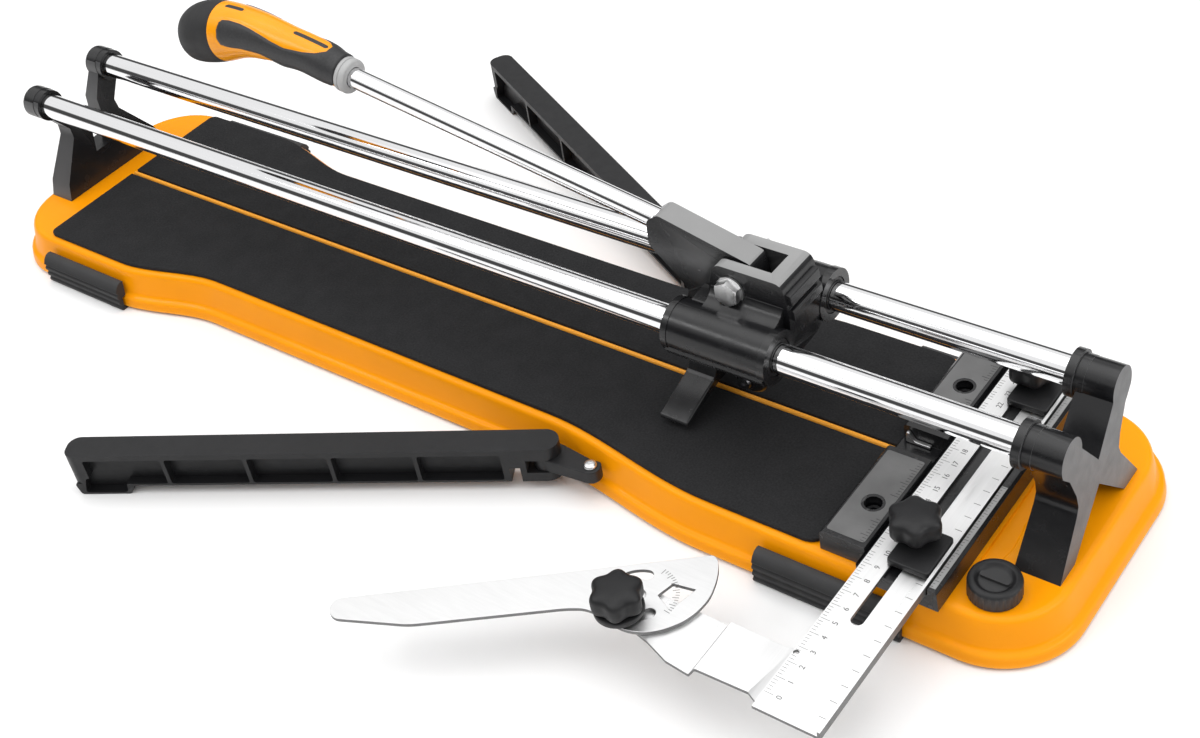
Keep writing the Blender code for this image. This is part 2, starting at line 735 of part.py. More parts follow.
# ---------------------------------------------------------------- side supports
def support_arm(which, side):
    """The same moulded channel for both sides, with cross ribs, drawn along +U and then swung into place."""
    reach = ARM_REACH[which]
    half = ARM_WIDTH / 2
    outline = rounded_bar(reach, ARM_WIDTH)
    made = prism(f"support_arm_{which}", outline, ARM_BOTTOM, -0.2, material="black_plastic")
    foot = prism(
        f"support_arm_foot_{which}",
        [(reach - 38, ARM_BOTTOM + 2), (reach - 34, BENCH), (reach - 3, BENCH), (reach - 1, ARM_BOTTOM + 2)],
        -half * 0.1,
        half,
        ACROSS_Y,
        home=CUTTERS,
    )
    boolean(made, foot, "UNION")
    pockets = []
    ribs = 5
    first, last = 24.0, reach - 9.0
    pitch = (last - first) / ribs
    for i in range(ribs):
        low = first + i * pitch
        top_corner = (low + pitch - 2.4, half + 5, -5.2)
        pockets.append((add_box, ((low, half - 13.6, ARM_BOTTOM + 3.4), top_corner)))
    pockets.append((add_box, ((14.0, -half * 1.2, ARM_BOTTOM - 1), (20.0, half * 1.2, ARM_BOTTOM + 10))))
    pin_hole = (add_cylinder, ((0, 0, -40), (0, 0, 10), 3.3, 14))
    relief = (add_box, ((-12, -12, -17.2), (10.5, 12, -8.4)))
    boolean(made, cutter_of(f"support_arm_pockets_{which}", *pockets))
    boolean(made, cutter_of(f"support_arm_relief_{which}", relief))
    boolean(made, cutter_of(f"support_arm_hole_{which}", pin_hole))
    turn = Matrix.Rotation(math.radians(180 - side * ARM_ANGLE[which]), 4, "Z")
    place = standing(ARM_PIVOT[0], side * ARM_PIVOT[1]) @ turn
    for obj in [made] + [m.object for m in made.modifiers]:
        obj.matrix_world = place
    return made


def hinge_bracket(which, side):
    """A lug screwed to the tray wall, between the arm's two hinge ears, and the pin through them."""
    x, y = ARM_PIVOT
    outline = arc((x, y), 7.6, 60, 250, 8)
    outline += [(x - 2.0, 73.9), (x + 6.0, 74.0), (x + 16.0, 75.0), (x + 26.0, 76.2)]
    outline += arc(LUG_SCREW, 6.0, -60, 90, 6)
    outline = [(u, side * v) for u, v in outline]
    made = prism(f"hinge_lug_{which}", outline, *LUG_Z, material="black_plastic")
    places = [(x, side * y), (LUG_SCREW[0], side * LUG_SCREW[1])]
    bores = [(add_cylinder, ((u, v, -40), (u, v, 10), 2.9, 14)) for u, v in places]
    boolean(made, cutter_of(f"hinge_lug_holes_{which}", *bores))
    pin = [(0, -3.0), (2.6, -3.0), (2.6, -22.0), (0, -22.0)]
    turned(f"hinge_pin_{which}", pin, standing(*places[0]), "zinc_steel", steps=14)
    top = LUG_Z[1] + GAP
    screw = [(0, top + 1.6), (3.0, top + 1.6), (3.8, top + 0.8), (3.8, top)]
    screw += [(2.6, top), (2.6, -17.6), (0, -17.6)]
    turned(f"hinge_screw_{which}", screw, standing(*places[1]), "zinc_steel", steps=14)


# ---------------------------------------------------------------- carriage
def carriage():
    """A saddle on both rails with a yoke for the lever, open towards the operator and below."""
    saddle = [(0.0, 46.0), (16.0, 47.0), (24.0, 52.0), (34.0, 62.0), (28.0, 74.0), (20.0, 77.5), (12.0, 78.5)]
    saddle += [(-y, z) for y, z in reversed(saddle) if y > 0.01]
    yoke = [(CHEEK + 3.0, 60.0), (CHEEK, 78.0), (CHEEK, 98.5), (CHEEK - 1.5, 100.0)]
    yoke += [(-y, z) for y, z in reversed(yoke)]
    made = prism("carriage", saddle, 195.0, 246.4, ACROSS_X, "black_casting")
    boolean(made, prism("carriage_yoke", yoke, 204.0, 247.0, ACROSS_X, home=CUTTERS), "UNION")
    for side in (-1, 1):
        boolean(made, tube_along_x(f"carriage_barrel_{side}", side, CARRIAGE_X, 14.6), "UNION")
    slot = (add_box, ((150, -SLOT_WALL, 20), (237.5, SLOT_WALL, 130)))
    boolean(made, cutter_of("carriage_slot", slot))
    for side in (-1, 1):
        boolean(made, tube_along_x(f"carriage_bore_{side}", side, (150, 300), 10.4))
    bolt_hole = (add_cylinder, ((PIVOT.x, -40, PIVOT.z), (PIVOT.x, 40, PIVOT.z), 4.3, 16))
    boolean(made, cutter_of("carriage_bolt_hole", bolt_hole))
    return give_origin(made, (PIVOT.x, 0, RAIL_Z))


def tube_along_x(name, side, x_range, radius):
    """A round cutter along one rail's axis."""
    low, high = x_range
    start = (low, side * RAIL_Y, RAIL_Z)
    return cylinder(name, start, (high, side * RAIL_Y, RAIL_Z), radius, home=CUTTERS, sides=28)


def bearing_bush(name, side):
    """A nylon bush between the carriage bore and the rail."""
    half = 31.2
    inner, outer = RAIL_RADIUS + GAP, 10.1
    builder = bmesh.new()
    middle = 219.5
    low = (middle - half, side * RAIL_Y, RAIL_Z)
    add_cylinder(builder, low, (middle + half, side * RAIL_Y, RAIL_Z), outer, 28)
    made = finish_mesh(name, builder, "nylon")
    bore = (add_cylinder, ((150, side * RAIL_Y, RAIL_Z), (300, side * RAIL_Y, RAIL_Z), inner, 28))
    boolean(made, cutter_of(f"{name}_bore", bore))
    return give_origin(made, (middle, side * RAIL_Y, RAIL_Z))


def pivot_bolt():
    head = prism(
        "pivot_bolt",
        hexagon((PIVOT.x, PIVOT.z), 13.0),
        -CHEEK - GAP - 5.4,
        -CHEEK - GAP,
        ACROSS_Y,
        "zinc_steel",
    )
    shank = cylinder(
        "pivot_bolt_shank",
        (PIVOT.x, -CHEEK - 2, PIVOT.z),
        (PIVOT.x, 24.5, PIVOT.z),
        4.0,
        home=CUTTERS,
        sides=16,
    )
    boolean(head, shank, "UNION")
    nut = prism(
        "pivot_nut",
        hexagon((PIVOT.x, PIVOT.z), 13.0),
        CHEEK + 0.9,
        CHEEK + 7.6,
        ACROSS_Y,
        "zinc_steel",
    )
    bore = (add_cylinder, ((PIVOT.x, 0, PIVOT.z), (PIVOT.x, 40, PIVOT.z), 4.2, 16))
    boolean(nut, cutter_of("pivot_nut_bore", bore))


# ---------------------------------------------------------------- lever, handle and wheel
def rod_direction():
    return (NECK - ROD_START).normalized()


def lever_block():
    """The lever's body between the cheeks, with the stem of the breaker foot and the fork of the wheel."""
    outline = [
        (168.0, 113.0),
        (160.5, 107.0),
        (160.0, 92.0),
        (183.0, 69.5),
        (180.0, 58.0),
        (179.5, 22.6),
        (195.5, 22.6),
        (196.8, 50.0),
        (201.5, 53.0),
        (205.5, 40.0),
        (206.5, 13.0),
        (209.0, 9.8),
        (215.0, 9.8),
        (217.5, 13.0),
        (219.0, 40.0),
        (226.5, 64.0),
        (228.0, 78.0),
        (226.0, 92.0),
        (224.0, 99.5),
    ]
    made = prism("lever_block", outline, -LEVER_HALF, LEVER_HALF, ACROSS_Y, "black_casting")
    narrow = [
        (add_box, ((199.0, side * 10 - 4.8, 0), (250.0, side * 10 + 4.8, 48)))
        for side in (-1, 1)
    ]
    boolean(made, cutter_of("lever_fork_sides", *narrow))
    wheel_slot = (add_box, ((199.0, -1.7, 0), (250.0, 1.7, 28.0)))
    boolean(made, cutter_of("lever_wheel_slot", wheel_slot))
    axle = WHEEL_CENTRE
    bores = [
        (add_cylinder, (ROD_START - rod_direction(), NECK, ROD_RADIUS + GAP, 20)),
        (add_cylinder, ((PIVOT.x, -20, PIVOT.z), (PIVOT.x, 20, PIVOT.z), 4.3, 16)),
        (add_cylinder, ((axle.x, -20, axle.z), (axle.x, 20, axle.z), 2.3, 12)),
    ]
    for i, shape in enumerate(bores):
        boolean(made, cutter_of(f"lever_bore_{i}", shape))
    return give_origin(made, PIVOT)


def breaker_foot():
    """Two sloping wings that press the tile on both sides of the score."""
    half = [(0.0, 22.2), (9.0, 22.2), (13.0, 16.0), (41.5, 6.6), (41.5, 3.4), (38.0, 3.4)]
    half += [(8.0, 11.0), (0.0, 11.0)]
    outline = half + [(-y, z) for y, z in reversed(half) if y > 0.01]
    made = prism("breaker_foot", outline, 178.5, 197.0, ACROSS_X, "black_casting")
    return give_origin(made, PIVOT)


def scoring_wheel():
    place = lying_y(WHEEL_CENTRE.x, -1.1, WHEEL_CENTRE.z)
    profile = [
        (2.4, 2.2),
        (WHEEL_RADIUS - 1.3, 2.2),
        (WHEEL_RADIUS, 1.1),
        (WHEEL_RADIUS - 1.3, 0.0),
        (2.4, 0.0),
        (2.4, 2.2),
    ]
    return turned("scoring_wheel", profile, place, "carbide", steps=32)


def wheel_axle():
    place = lying_y(WHEEL_CENTRE.x, 0, WHEEL_CENTRE.z)
    profile = [(0, 7.2), (1.9, 7.2), (1.9, -5.6), (4.2, -5.6), (3.8, -7.6), (0, -7.8)]
    return turned("wheel_axle_screw", profile, place, "zinc_steel", steps=12)


def handle_rod():
    start = ROD_START
    end = NECK + rod_direction() * 70.0
    rod = cylinder("handle_rod", start, end, ROD_RADIUS, "chrome", sides=20)
    give_origin(rod, PIVOT)


def grip_place():
    """A frame at the neck: Z along the rod towards the grip's end, X up and square to the rod."""
    along = rod_direction()
    up = Vector((0, 1, 0)).cross(along).normalized()
    if up.z < 0:
        up = -up
    side = along.cross(up)
    place = Matrix((up, side, along)).transposed().to_4x4()
    place.translation = NECK
    return place


def grip_loft(name, stations, material):
    """A body through rounded sections: distance along, drop, half height and half width."""
    builder = bmesh.new()
    place = grip_place()
    rings = []
    for along, drop, height, width in stations:
        ring = []
        for i in range(20):
            angle = 2 * math.pi * i / 20
            point = Vector((height * math.cos(angle) - drop, width * math.sin(angle), along))
            ring.append(builder.verts.new(place @ point))
        rings.append(ring)
    for lower, upper in zip(rings, rings[1:]):
        for i in range(20):
            j = (i + 1) % 20
            builder.faces.new((lower[i], lower[j], upper[j], upper[i]))
    builder.faces.new(rings[0][::-1])
    builder.faces.new(rings[-1])
    return finish_mesh(name, builder, material)


def grip():
    collar = [(6.4, 7.2), (10.0, 7.2), (10.4, 6.4), (10.4, 1.4), (9.6, 0.0), (6.4, 0.0), (6.4, 7.2)]
    turned("grip_collar", collar, grip_place_m(-12.6), "grey_plastic", steps=24)
    body = grip_loft("grip_body", GRIP_BODY, "orange_plastic")
    ends = (NECK - rod_direction() * 10, NECK + rod_direction() * 72.0)
    boolean(body, cutter_of("grip_bore", (add_cylinder, (*ends, ROD_RADIUS + GAP, 20))))
    grip_loft("grip_end_cap", GRIP_CAP, "soft_grip")


def grip_place_m(shift):
    """The neck frame in metres, moved along the rod by a distance in millimetres."""
    place = grip_place()
    place.translation = (NECK + rod_direction() * shift) * MM
    return place


# ---------------------------------------------------------------- wheel store
def wheel_store():
    """A spare wheel on a peg under a twist-off cap."""
    x, y = CAP_CENTRE
    base = TRAY_TOP + GAP
    peg = [(0, 3.4), (2.0, 3.4), (2.0, base + 1.2), (9.0, base + 1.2), (9.0, base), (0, base)]
    turned("wheel_store_base", peg, standing(x, y), "black_plastic", steps=20)
    spare = [(2.4, 2.1), (9.7, 2.1), (WHEEL_RADIUS - 0.4, 1.0), (9.7, -0.1), (2.4, -0.1), (2.4, 2.1)]
    turned("spare_wheel", spare, standing(x, y), "carbide", steps=24)
    cap = [
        (0, 6.4),
        (8.6, 6.4),
        (9.6, 7.4),
        (12.0, 7.4),
        (13.2, 6.2),
        (13.4, base),
        (11.4, base),
        (11.2, 4.6),
        (0, 4.6),
    ]
    turned("wheel_store_cap", cap, standing(x, y), "black_plastic", steps=32)


def build():
    tray()
    pad("front_pad", -1)
    pad("rear_pad", 1)
    ridge()
    for end, x_range in (("left", (-296.0, -222.0)), ("right", (268.0, 352.0))):
        rubber_foot(f"foot_front_{end}", x_range, -1)
        rubber_foot(f"foot_rear_{end}", x_range, 1)
    left_bracket()
    right_bracket()
    names = ("left_front", "left_rear", "right_front", "right_rear")
    for name, (x, y) in zip(names, bracket_screws()):
        pan_screw(f"bracket_screw_{name}", x, y, 6.2)
    rails()
    fence()
    for name, (x, y) in zip(("front", "rear"), fence_screws()):
        fence_screw(f"fence_screw_{name}", x, y)
    pointer()
    ruler()
    for name, y in zip(("front", "rear"), CLAMP_Y):
        clamp_set(name, y)
    mitre_arm()
    mitre_fasteners()
    for which, side in (("front", -1), ("rear", 1)):
        support_arm(which, side)
        hinge_bracket(which, side)
    carriage()
    bearing_bush("front_rail_bush", -1)
    bearing_bush("rear_rail_bush", 1)
    pivot_bolt()
    lever_block()
    breaker_foot()
    scoring_wheel()
    wheel_axle()
    handle_rod()
    grip()
    wheel_store()


build()
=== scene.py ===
"""The looks of the twin-rail tile cutter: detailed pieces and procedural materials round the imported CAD.

X runs along the rails towards the fence, Y runs across, and Z is up. Lengths are in millimetres in this
file and are scaled to metres where a mesh is made. Each piece names the CAD nodes that it stands for.
"""

import json
import math

import bmesh
import bpy
from mathutils import Matrix, Vector

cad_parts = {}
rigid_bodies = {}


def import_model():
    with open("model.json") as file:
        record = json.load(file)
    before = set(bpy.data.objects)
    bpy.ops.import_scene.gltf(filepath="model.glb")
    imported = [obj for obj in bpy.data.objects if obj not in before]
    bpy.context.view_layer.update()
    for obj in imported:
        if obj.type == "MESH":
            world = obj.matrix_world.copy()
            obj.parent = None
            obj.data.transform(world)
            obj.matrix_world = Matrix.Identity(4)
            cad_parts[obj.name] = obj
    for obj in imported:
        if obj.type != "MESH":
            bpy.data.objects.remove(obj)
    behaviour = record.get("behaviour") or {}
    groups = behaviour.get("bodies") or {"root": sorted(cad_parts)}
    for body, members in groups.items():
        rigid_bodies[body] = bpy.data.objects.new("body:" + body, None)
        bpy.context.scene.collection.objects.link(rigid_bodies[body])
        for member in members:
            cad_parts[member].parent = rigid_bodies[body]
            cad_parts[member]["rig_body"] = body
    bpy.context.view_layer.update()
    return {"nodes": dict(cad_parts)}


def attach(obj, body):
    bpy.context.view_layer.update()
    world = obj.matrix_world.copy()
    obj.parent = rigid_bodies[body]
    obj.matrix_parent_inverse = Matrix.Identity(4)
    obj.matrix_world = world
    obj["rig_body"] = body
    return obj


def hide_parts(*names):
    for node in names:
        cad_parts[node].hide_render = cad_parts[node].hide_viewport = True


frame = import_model()
NODES = frame["nodes"]

MM = 0.001

# The camera: where it stands (mm), where it looks, the direction of the picture's right side, and its lens.
CAMERA_PLACE = (630.1, -571.9, 633.7)
CAMERA_FORWARD = (-0.5172, 0.5617, -0.6458)
CAMERA_RIGHT = (0.8017, 0.5822, -0.1357)
CAMERA_LENS = 51.81

# Driving dimensions, the same as the CAD part's.
RAIL_RADIUS = 8.0
RAIL_Y = 28.0
RAIL_Z = 64.4
TRAY_TOP = -3.0
BENCH = -30.0
LEFT_END = -341.0
RIGHT_END = 417.0
WIDE_HALF = 81.0
WAIST_HALF = 66.0
WAIST_LEFT = (-228.0, -152.0)
WAIST_RIGHT = (118.0, 232.0)
LEFT_CORNER = 40.0
RIGHT_CORNER = 36.0
PAD_HALF = 300.0
FENCE_BLOCK = (300.3, 325.5)
FENCE_TOP = 10.0
FENCE_STRIP = (364.2, 370.0)
STRIP_HALF = 87.0
FENCE_HALF = 78.0
FENCE_HOLE_X = 314.5
FENCE_HOLE_Y = 49
RULER_X = (328.0, 363.6)
RULER_BOTTOM = 6.4
RULER_TOP = 8.4
RULER_Y = (-184.5, 86.0)
SLOT_X = 344.5
CLAMP_Y = (-61.0, 67.0)
PIVOT = Vector((216.5, 0.0, 87.0))
CHEEK = 15.0
BOLT_FLATS = 13.0
WHEEL_CENTRE = Vector((212.0, 0.0, 14.6))
ROD_RADIUS = 6.0
ROD_START = Vector((188.0, 0.0, 100.6))
NECK = Vector((-57.0, 0.0, 141.5))
ARM_PIVOT = (129.0, 82.8)
ARM_WIDTH = 17.0
ARM_BOTTOM = -23.6
ARM_TOP = -0.3
ARM_REACH = {"front": 281.0, "rear": 316.0}
ARM_ANGLE = {"front": 29.0, "rear": 27.4}
LUG_SCREW = (158.0, 80.6)
LUG_Z = (-16.9, -8.7)
MITRE_PIVOT = (243.0, -153.0)
MITRE_ANGLE = 37.7
MITRE_BOLT_RADIUS = 13.3
MITRE_BOLT_ANGLE = 43.0
MITRE_FLOOR = 0.6
MITRE_BLADE = (2.9, 5.3)
CAP_CENTRE = (387.2, -62.6)

SIDES = (("front", -1), ("rear", 1))
ACROSS_X = Matrix(((0, 0, 1, 0), (1, 0, 0, 0), (0, 1, 0, 0), (0, 0, 0, 1)))
ACROSS_Y = Matrix(((1, 0, 0, 0), (0, 0, 1, 0), (0, 1, 0, 0), (0, 0, 0, 1)))


# ---------------------------------------------------------------- procedural materials
def set_inputs(node, sockets):
    """Sets a node's inputs by name, with an underscore for each space."""
    for socket, value in sockets.items():
        node.inputs[socket.replace("_", " ")].default_value = value


def add_node(owner, kind, **sockets):
    """A new shader node in a material or a world."""
    node = owner.node_tree.nodes.new("ShaderNode" + kind)
    set_inputs(node, sockets)
    return node


def link(owner, source, target):
    owner.node_tree.links.new(source, target)


def base_material(name, colour, roughness, **sockets):
    made = bpy.data.materials.new(name)
    made.use_nodes = True
    shader = made.node_tree.nodes["Principled BSDF"]
    set_inputs(shader, {"Base_Color": (*colour, 1.0), "Roughness": roughness, **sockets})
    return made


def noise(made, scale, detail=3.0, stretch=(1.0, 1.0, 1.0)):
    """A noise field over the object's own coordinates, in cycles a metre."""
    place = add_node(made, "TexCoord")
    mapping = add_node(made, "Mapping", Scale=stretch)
    field = add_node(made, "TexNoise", Scale=scale, Detail=detail)
    link(made, place.outputs["Object"], mapping.inputs["Vector"])
    link(made, mapping.outputs["Vector"], field.inputs["Vector"])
    return field.outputs["Fac"]


def remap(made, source, low, high, start=0.3, end=0.7):
    node = add_node(made, "MapRange", From_Min=start, From_Max=end, To_Min=low, To_Max=high)
    link(made, source, node.inputs["Value"])
    return node.outputs["Result"]


def blend_colours(made, factor, first, second):
    """A colour between two, each a colour or another socket."""
    node = add_node(made, "Mix")
    node.data_type = "RGBA"
    link(made, factor, node.inputs["Factor"])
    for socket, value in (("A", first), ("B", second)):
        target = [s for s in node.inputs if s.name == socket and s.type == "RGBA"][0]
        if isinstance(value, bpy.types.NodeSocket):
            link(made, value, target)
        else:
            target.default_value = (*value, 1.0)
    return [s for s in node.outputs if s.type == "RGBA"][0]


def edge_wear_and_highlight(made, amount):
    """Near 0 on flats and hollows, up to the amount on outer edges: the share of the paler edge colour,
    which is partly wear and partly a painted highlight.
    """
    geometry = add_node(made, "NewGeometry")
    return remap(made, geometry.outputs["Pointiness"], 0.0, amount, 0.52, 0.62)


def connect(made, source, socket):
    link(made, source, made.node_tree.nodes["Principled BSDF"].inputs[socket])


def add_bump(made, heights):
    """Bumps on top of each other: each is (height socket, strength, distance in mm)."""
    normal = None
    for height, strength, distance in heights:
        node = add_node(made, "Bump", Strength=strength, Distance=distance * MM)
        link(made, height, node.inputs["Height"])
        if normal:
            link(made, normal, node.inputs["Normal"])
        normal = node.outputs["Normal"]
    connect(made, normal, "Normal")


def tone(colour, share):
    return tuple(min(channel * share, 1.0) for channel in colour)


def coated(name, colour, roughness, spread, grain, edge=0.0, edge_wear_and_highlight_colour=(0.3, 0.3, 0.3), **sockets):
    """Paint, rubber or plastic: a slightly uneven tone and gloss, a fine grain, and paler edges that are
    partly wear and partly a painted highlight.

    roughness is (low, high), and grain is (cycles a metre, strength, distance in mm).
    """
    made = base_material(name, colour, roughness[0], **sockets)
    broad = noise(made, 35.0, 4.0)
    mixed = blend_colours(made, broad, tone(colour, 1 - spread), tone(colour, 1 + spread))
    # Paler outer edges: partly wear, partly a painted highlight where edges would catch the light.
    if edge:
        mixed = blend_colours(made, edge_wear_and_highlight(made, edge), mixed, edge_wear_and_highlight_colour)
    connect(made, mixed, "Base Color")
    connect(made, remap(made, noise(made, 120.0, 5.0), *roughness), "Roughness")
    scale, strength, distance = grain
    fine = (noise(made, scale, 4.0), strength, distance)
    broad_waves = (noise(made, scale / 7, 2.0), 0.12, 0.5)
    add_bump(made, [fine, broad_waves])
    return made


def metal(name, colour, roughness, brush, strength, stretch=(1.0, 1.0, 1.0)):
    """Bare metal with fine lines along one axis: stretch is small along the lines."""
    made = base_material(name, colour, roughness[0], Metallic=1.0)
    lines = noise(made, brush, 3.0, stretch)
    connect(made, blend_colours(made, lines, tone(colour, 0.93), tone(colour, 1.05)), "Base Color")
    connect(made, remap(made, noise(made, brush / 4, 4.0, stretch), *roughness), "Roughness")
    add_bump(made, [(lines, strength, 0.05)])
    return made


def foam_material():
    """Charcoal foam with a leathery grain of short cells."""
    colour = (0.017, 0.017, 0.018)
    made = base_material("eva_foam", colour, 0.85, Specular_IOR_Level=0.22)
    place = add_node(made, "TexCoord")
    cells = add_node(made, "TexVoronoi", Scale=620.0)
    link(made, place.outputs["Object"], cells.inputs["Vector"])
    speckle = noise(made, 900.0, 3.0)
    mixed = blend_colours(made, remap(made, speckle, 0.0, 1.0), tone(colour, 0.72), tone(colour, 1.35))
    connect(made, mixed, "Base Color")
    connect(made, remap(made, noise(made, 60.0), 0.78, 0.94), "Roughness")
    add_bump(made, [(cells.outputs["Distance"], 0.35, 0.35), (speckle, 0.4, 0.25)])
    return made


def grip_material():
    """The grip's two mouldings: orange shell, and soft black where the mesh's inlay field is positive."""
    made = base_material("grip_shell", (0.9, 0.3, 0.01), 0.3, Specular_IOR_Level=0.32)
    field = add_node(made, "Attribute")
    field.attribute_name = "inlay"
    inside = remap(made, field.outputs["Fac"], 0.0, 1.0, -0.12, 0.12)
    shell = blend_colours(made, noise(made, 60.0), (0.90, 0.32, 0.003), (1.0, 0.38, 0.006))
    soft = blend_colours(made, noise(made, 700.0), (0.020, 0.020, 0.021), (0.048, 0.048, 0.050))
    connect(made, blend_colours(made, inside, shell, soft), "Base Color")
    connect(made, remap(made, field.outputs["Fac"], 0.24, 0.46, -0.12, 0.12), "Roughness")
    add_bump(made, [(noise(made, 1500.0), 0.25, 0.12)])
    return made


MATERIALS = {
    # The pale yellow edge colour is mostly a painted highlight along the tray's bends and bead, with a
    # little wear.
    "orange_paint": coated(
        "orange_paint", (0.96, 0.33, 0.0015), (0.34, 0.44), 0.05, (420.0, 0.10, 0.3),
        edge=0.35, edge_wear_and_highlight_colour=(1.0, 0.60, 0.16), Specular_IOR_Level=0.06,
        Coat_Weight=0.14, Coat_Roughness=0.10,
    ),
    "eva_foam": foam_material(),
    "black_rubber": coated(
        "black_rubber", (0.020, 0.020, 0.021), (0.55, 0.7), 0.3, (900.0, 0.35, 0.2),
        edge=0.35, edge_wear_and_highlight_colour=(0.12, 0.12, 0.12), Specular_IOR_Level=0.3,
    ),
    "black_casting": coated(
        "black_casting", (0.008, 0.008, 0.009), (0.19, 0.29), 0.3, (650.0, 0.16, 0.2),
        edge=0.2, edge_wear_and_highlight_colour=(0.22, 0.22, 0.22), Specular_IOR_Level=0.42,
    ),
    "black_plastic": coated(
        "black_plastic", (0.010, 0.010, 0.011), (0.36, 0.5), 0.25, (1100.0, 0.25, 0.15),
        edge=0.2, edge_wear_and_highlight_colour=(0.14, 0.14, 0.14), Specular_IOR_Level=0.3,
    ),
    "orange_plastic": grip_material(),
    "soft_grip": coated(
        "soft_grip", (0.026, 0.026, 0.027), (0.55, 0.7), 0.25, (1300.0, 0.4, 0.2),
        edge=0.2, edge_wear_and_highlight_colour=(0.08, 0.08, 0.08), Specular_IOR_Level=0.3,
    ),
    "grey_plastic": coated("grey_plastic", (0.42, 0.42, 0.42), (0.4, 0.5), 0.06, (1100.0, 0.2, 0.12)),
    "chrome": metal("chrome", (0.86, 0.86, 0.87), (0.05, 0.10), 300.0, 0.04, (0.05, 1.0, 1.0)),
    "bright_steel": metal("bright_steel", (0.80, 0.80, 0.80), (0.26, 0.40), 900.0, 0.25, (1.0, 0.03, 1.0)),
    "zinc_steel": metal("zinc_steel", (0.72, 0.72, 0.72), (0.22, 0.38), 700.0, 0.2, (1.0, 1.0, 0.2)),
    "carbide": metal("carbide", (0.20, 0.20, 0.21), (0.25, 0.35), 900.0, 0.15, (1.0, 1.0, 1.0)),
}
PRINT_GREY = coated("print_grey", (0.10, 0.10, 0.10), (0.5, 0.6), 0.2, (900.0, 0.1, 0.1))
PRINT_BLACK = coated("print_black", (0.012, 0.012, 0.012), (0.5, 0.6), 0.2, (900.0, 0.1, 0.1))
SCALE_PLATE = metal("scale_plate", (0.34, 0.34, 0.34), (0.35, 0.5), 900.0, 0.2, (1.0, 0.05, 1.0))
FENCE_LABEL = coated("fence_label", (0.13, 0.13, 0.13), (0.45, 0.6), 0.6, (500.0, 0.3, 0.2))
MITRE_STEEL = metal("mitre_steel", (0.75, 0.75, 0.75), (0.34, 0.48), 700.0, 0.2, (0.1, 1.0, 1.0))
# Painted shade: a dark steel for the upright edge faces of the rule and the mitre arm.
PAINTED_SHADE_EDGE = metal("painted_shade_edge", (0.22, 0.22, 0.22), (0.45, 0.6), 1200.0, 0.5, (1.0, 1.0, 0.2))
# Painted highlight: a light grey for the lit top faces of the carriage and the lever.
PAINTED_HIGHLIGHT_TOP = coated(
    "painted_highlight_top", (0.25, 0.25, 0.25), (0.42, 0.55), 0.12, (900.0, 0.5, 0.15),
    edge=0.2, edge_wear_and_highlight_colour=(0.5, 0.5, 0.5),
)
# Painted sheen: a lighter black for the faces that catch the light, on the brackets and the breaker foot.
PAINTED_SHEEN_FACE = coated(
    "painted_sheen_face", (0.066, 0.066, 0.068), (0.34, 0.46), 0.12, (700.0, 0.25, 0.2),
    edge=0.4, edge_wear_and_highlight_colour=(0.3, 0.3, 0.3),
)


# ---------------------------------------------------------------- making and joining meshes
def place_in_scene(name, data):
    obj = bpy.data.objects.new(name, data)
    bpy.context.scene.collection.objects.link(obj)
    return obj


def make_object(name, builder):
    """A new object from a bmesh in millimetres, facing out."""
    bmesh.ops.recalc_face_normals(builder, faces=builder.faces)
    bmesh.ops.scale(builder, vec=(MM, MM, MM), verts=builder.verts)
    mesh = bpy.data.meshes.new(name)
    builder.to_mesh(mesh)
    builder.free()
    return place_in_scene(name, mesh)


def apply_modifiers(obj):
    graph = bpy.context.evaluated_depsgraph_get()
    old = obj.data
    obj.data = bpy.data.meshes.new_from_object(obj.evaluated_get(graph), depsgraph=graph)
    obj.modifiers.clear()
    bpy.data.meshes.remove(old)
    obj.data.name = obj.name
    return obj


def remove(obj):
    mesh = obj.data
    bpy.data.objects.remove(obj)
    bpy.data.meshes.remove(mesh)


def combine(obj, *tools, operation="DIFFERENCE"):
    """Cuts the tools from the object, or joins or keeps what they share, and removes the tools."""
    for tool in tools:
        step = obj.modifiers.new("step", "BOOLEAN")
        step.operation = operation
        step.object = tool
        step.solver = "EXACT"
        apply_modifiers(obj)
        remove(tool)
    return obj


def join(obj, *others):
    """One mesh from several that don't need a Boolean, such as marks or the flutes of a cap."""
    builder = bmesh.new()
    for part in (obj, *others):
        builder.from_mesh(part.data)
    builder.to_mesh(obj.data)
    builder.free()
    for other in others:
        remove(other)
    return obj


def soften(obj, width, segments=3, angle=30.0):
    """Rounds the sharp edges, and keeps flat faces shaded flat."""
    bevel = obj.modifiers.new("bevel", "BEVEL")
    bevel.width = width * MM
    bevel.segments = segments
    bevel.limit_method = "ANGLE"
    bevel.angle_limit = math.radians(angle)
    bevel.miter_outer = "MITER_ARC"
    apply_modifiers(obj)
    return smooth_shade(obj)


def smooth_shade(obj, sharp=50.0):
    obj.data.shade_smooth()
    obj.data.set_sharp_from_angle(angle=math.radians(sharp))
    weighted = obj.modifiers.new("weighted", "WEIGHTED_NORMAL")
    weighted.keep_sharp = True
    return apply_modifiers(obj)


def dress(obj, material, body):
    """Gives the piece its material and its body."""
    obj.data.materials.clear()
    obj.data.materials.append(material)
    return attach(obj, body)


def face_material(obj, material, chosen):
    """A second finish on the faces that a test of (centre in mm, normal) picks."""
    obj.data.materials.append(material)
    index = len(obj.data.materials) - 1
    for face in obj.data.polygons:
        if chosen(face.center / MM, face.normal):
            face.material_index = index


# Picks the upright faces, which get the painted shade of the sheet's edges.
def shaded_upright_face(centre, normal):
    return abs(normal.z) < 0.35


def show(obj, slot, *nodes, material=None):
    """The piece stands for these CAD nodes, rides on their body and takes its finish from their slot."""
    dress(obj, material or MATERIALS[slot], NODES[nodes[0]]["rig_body"])
    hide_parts(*nodes)
    return obj


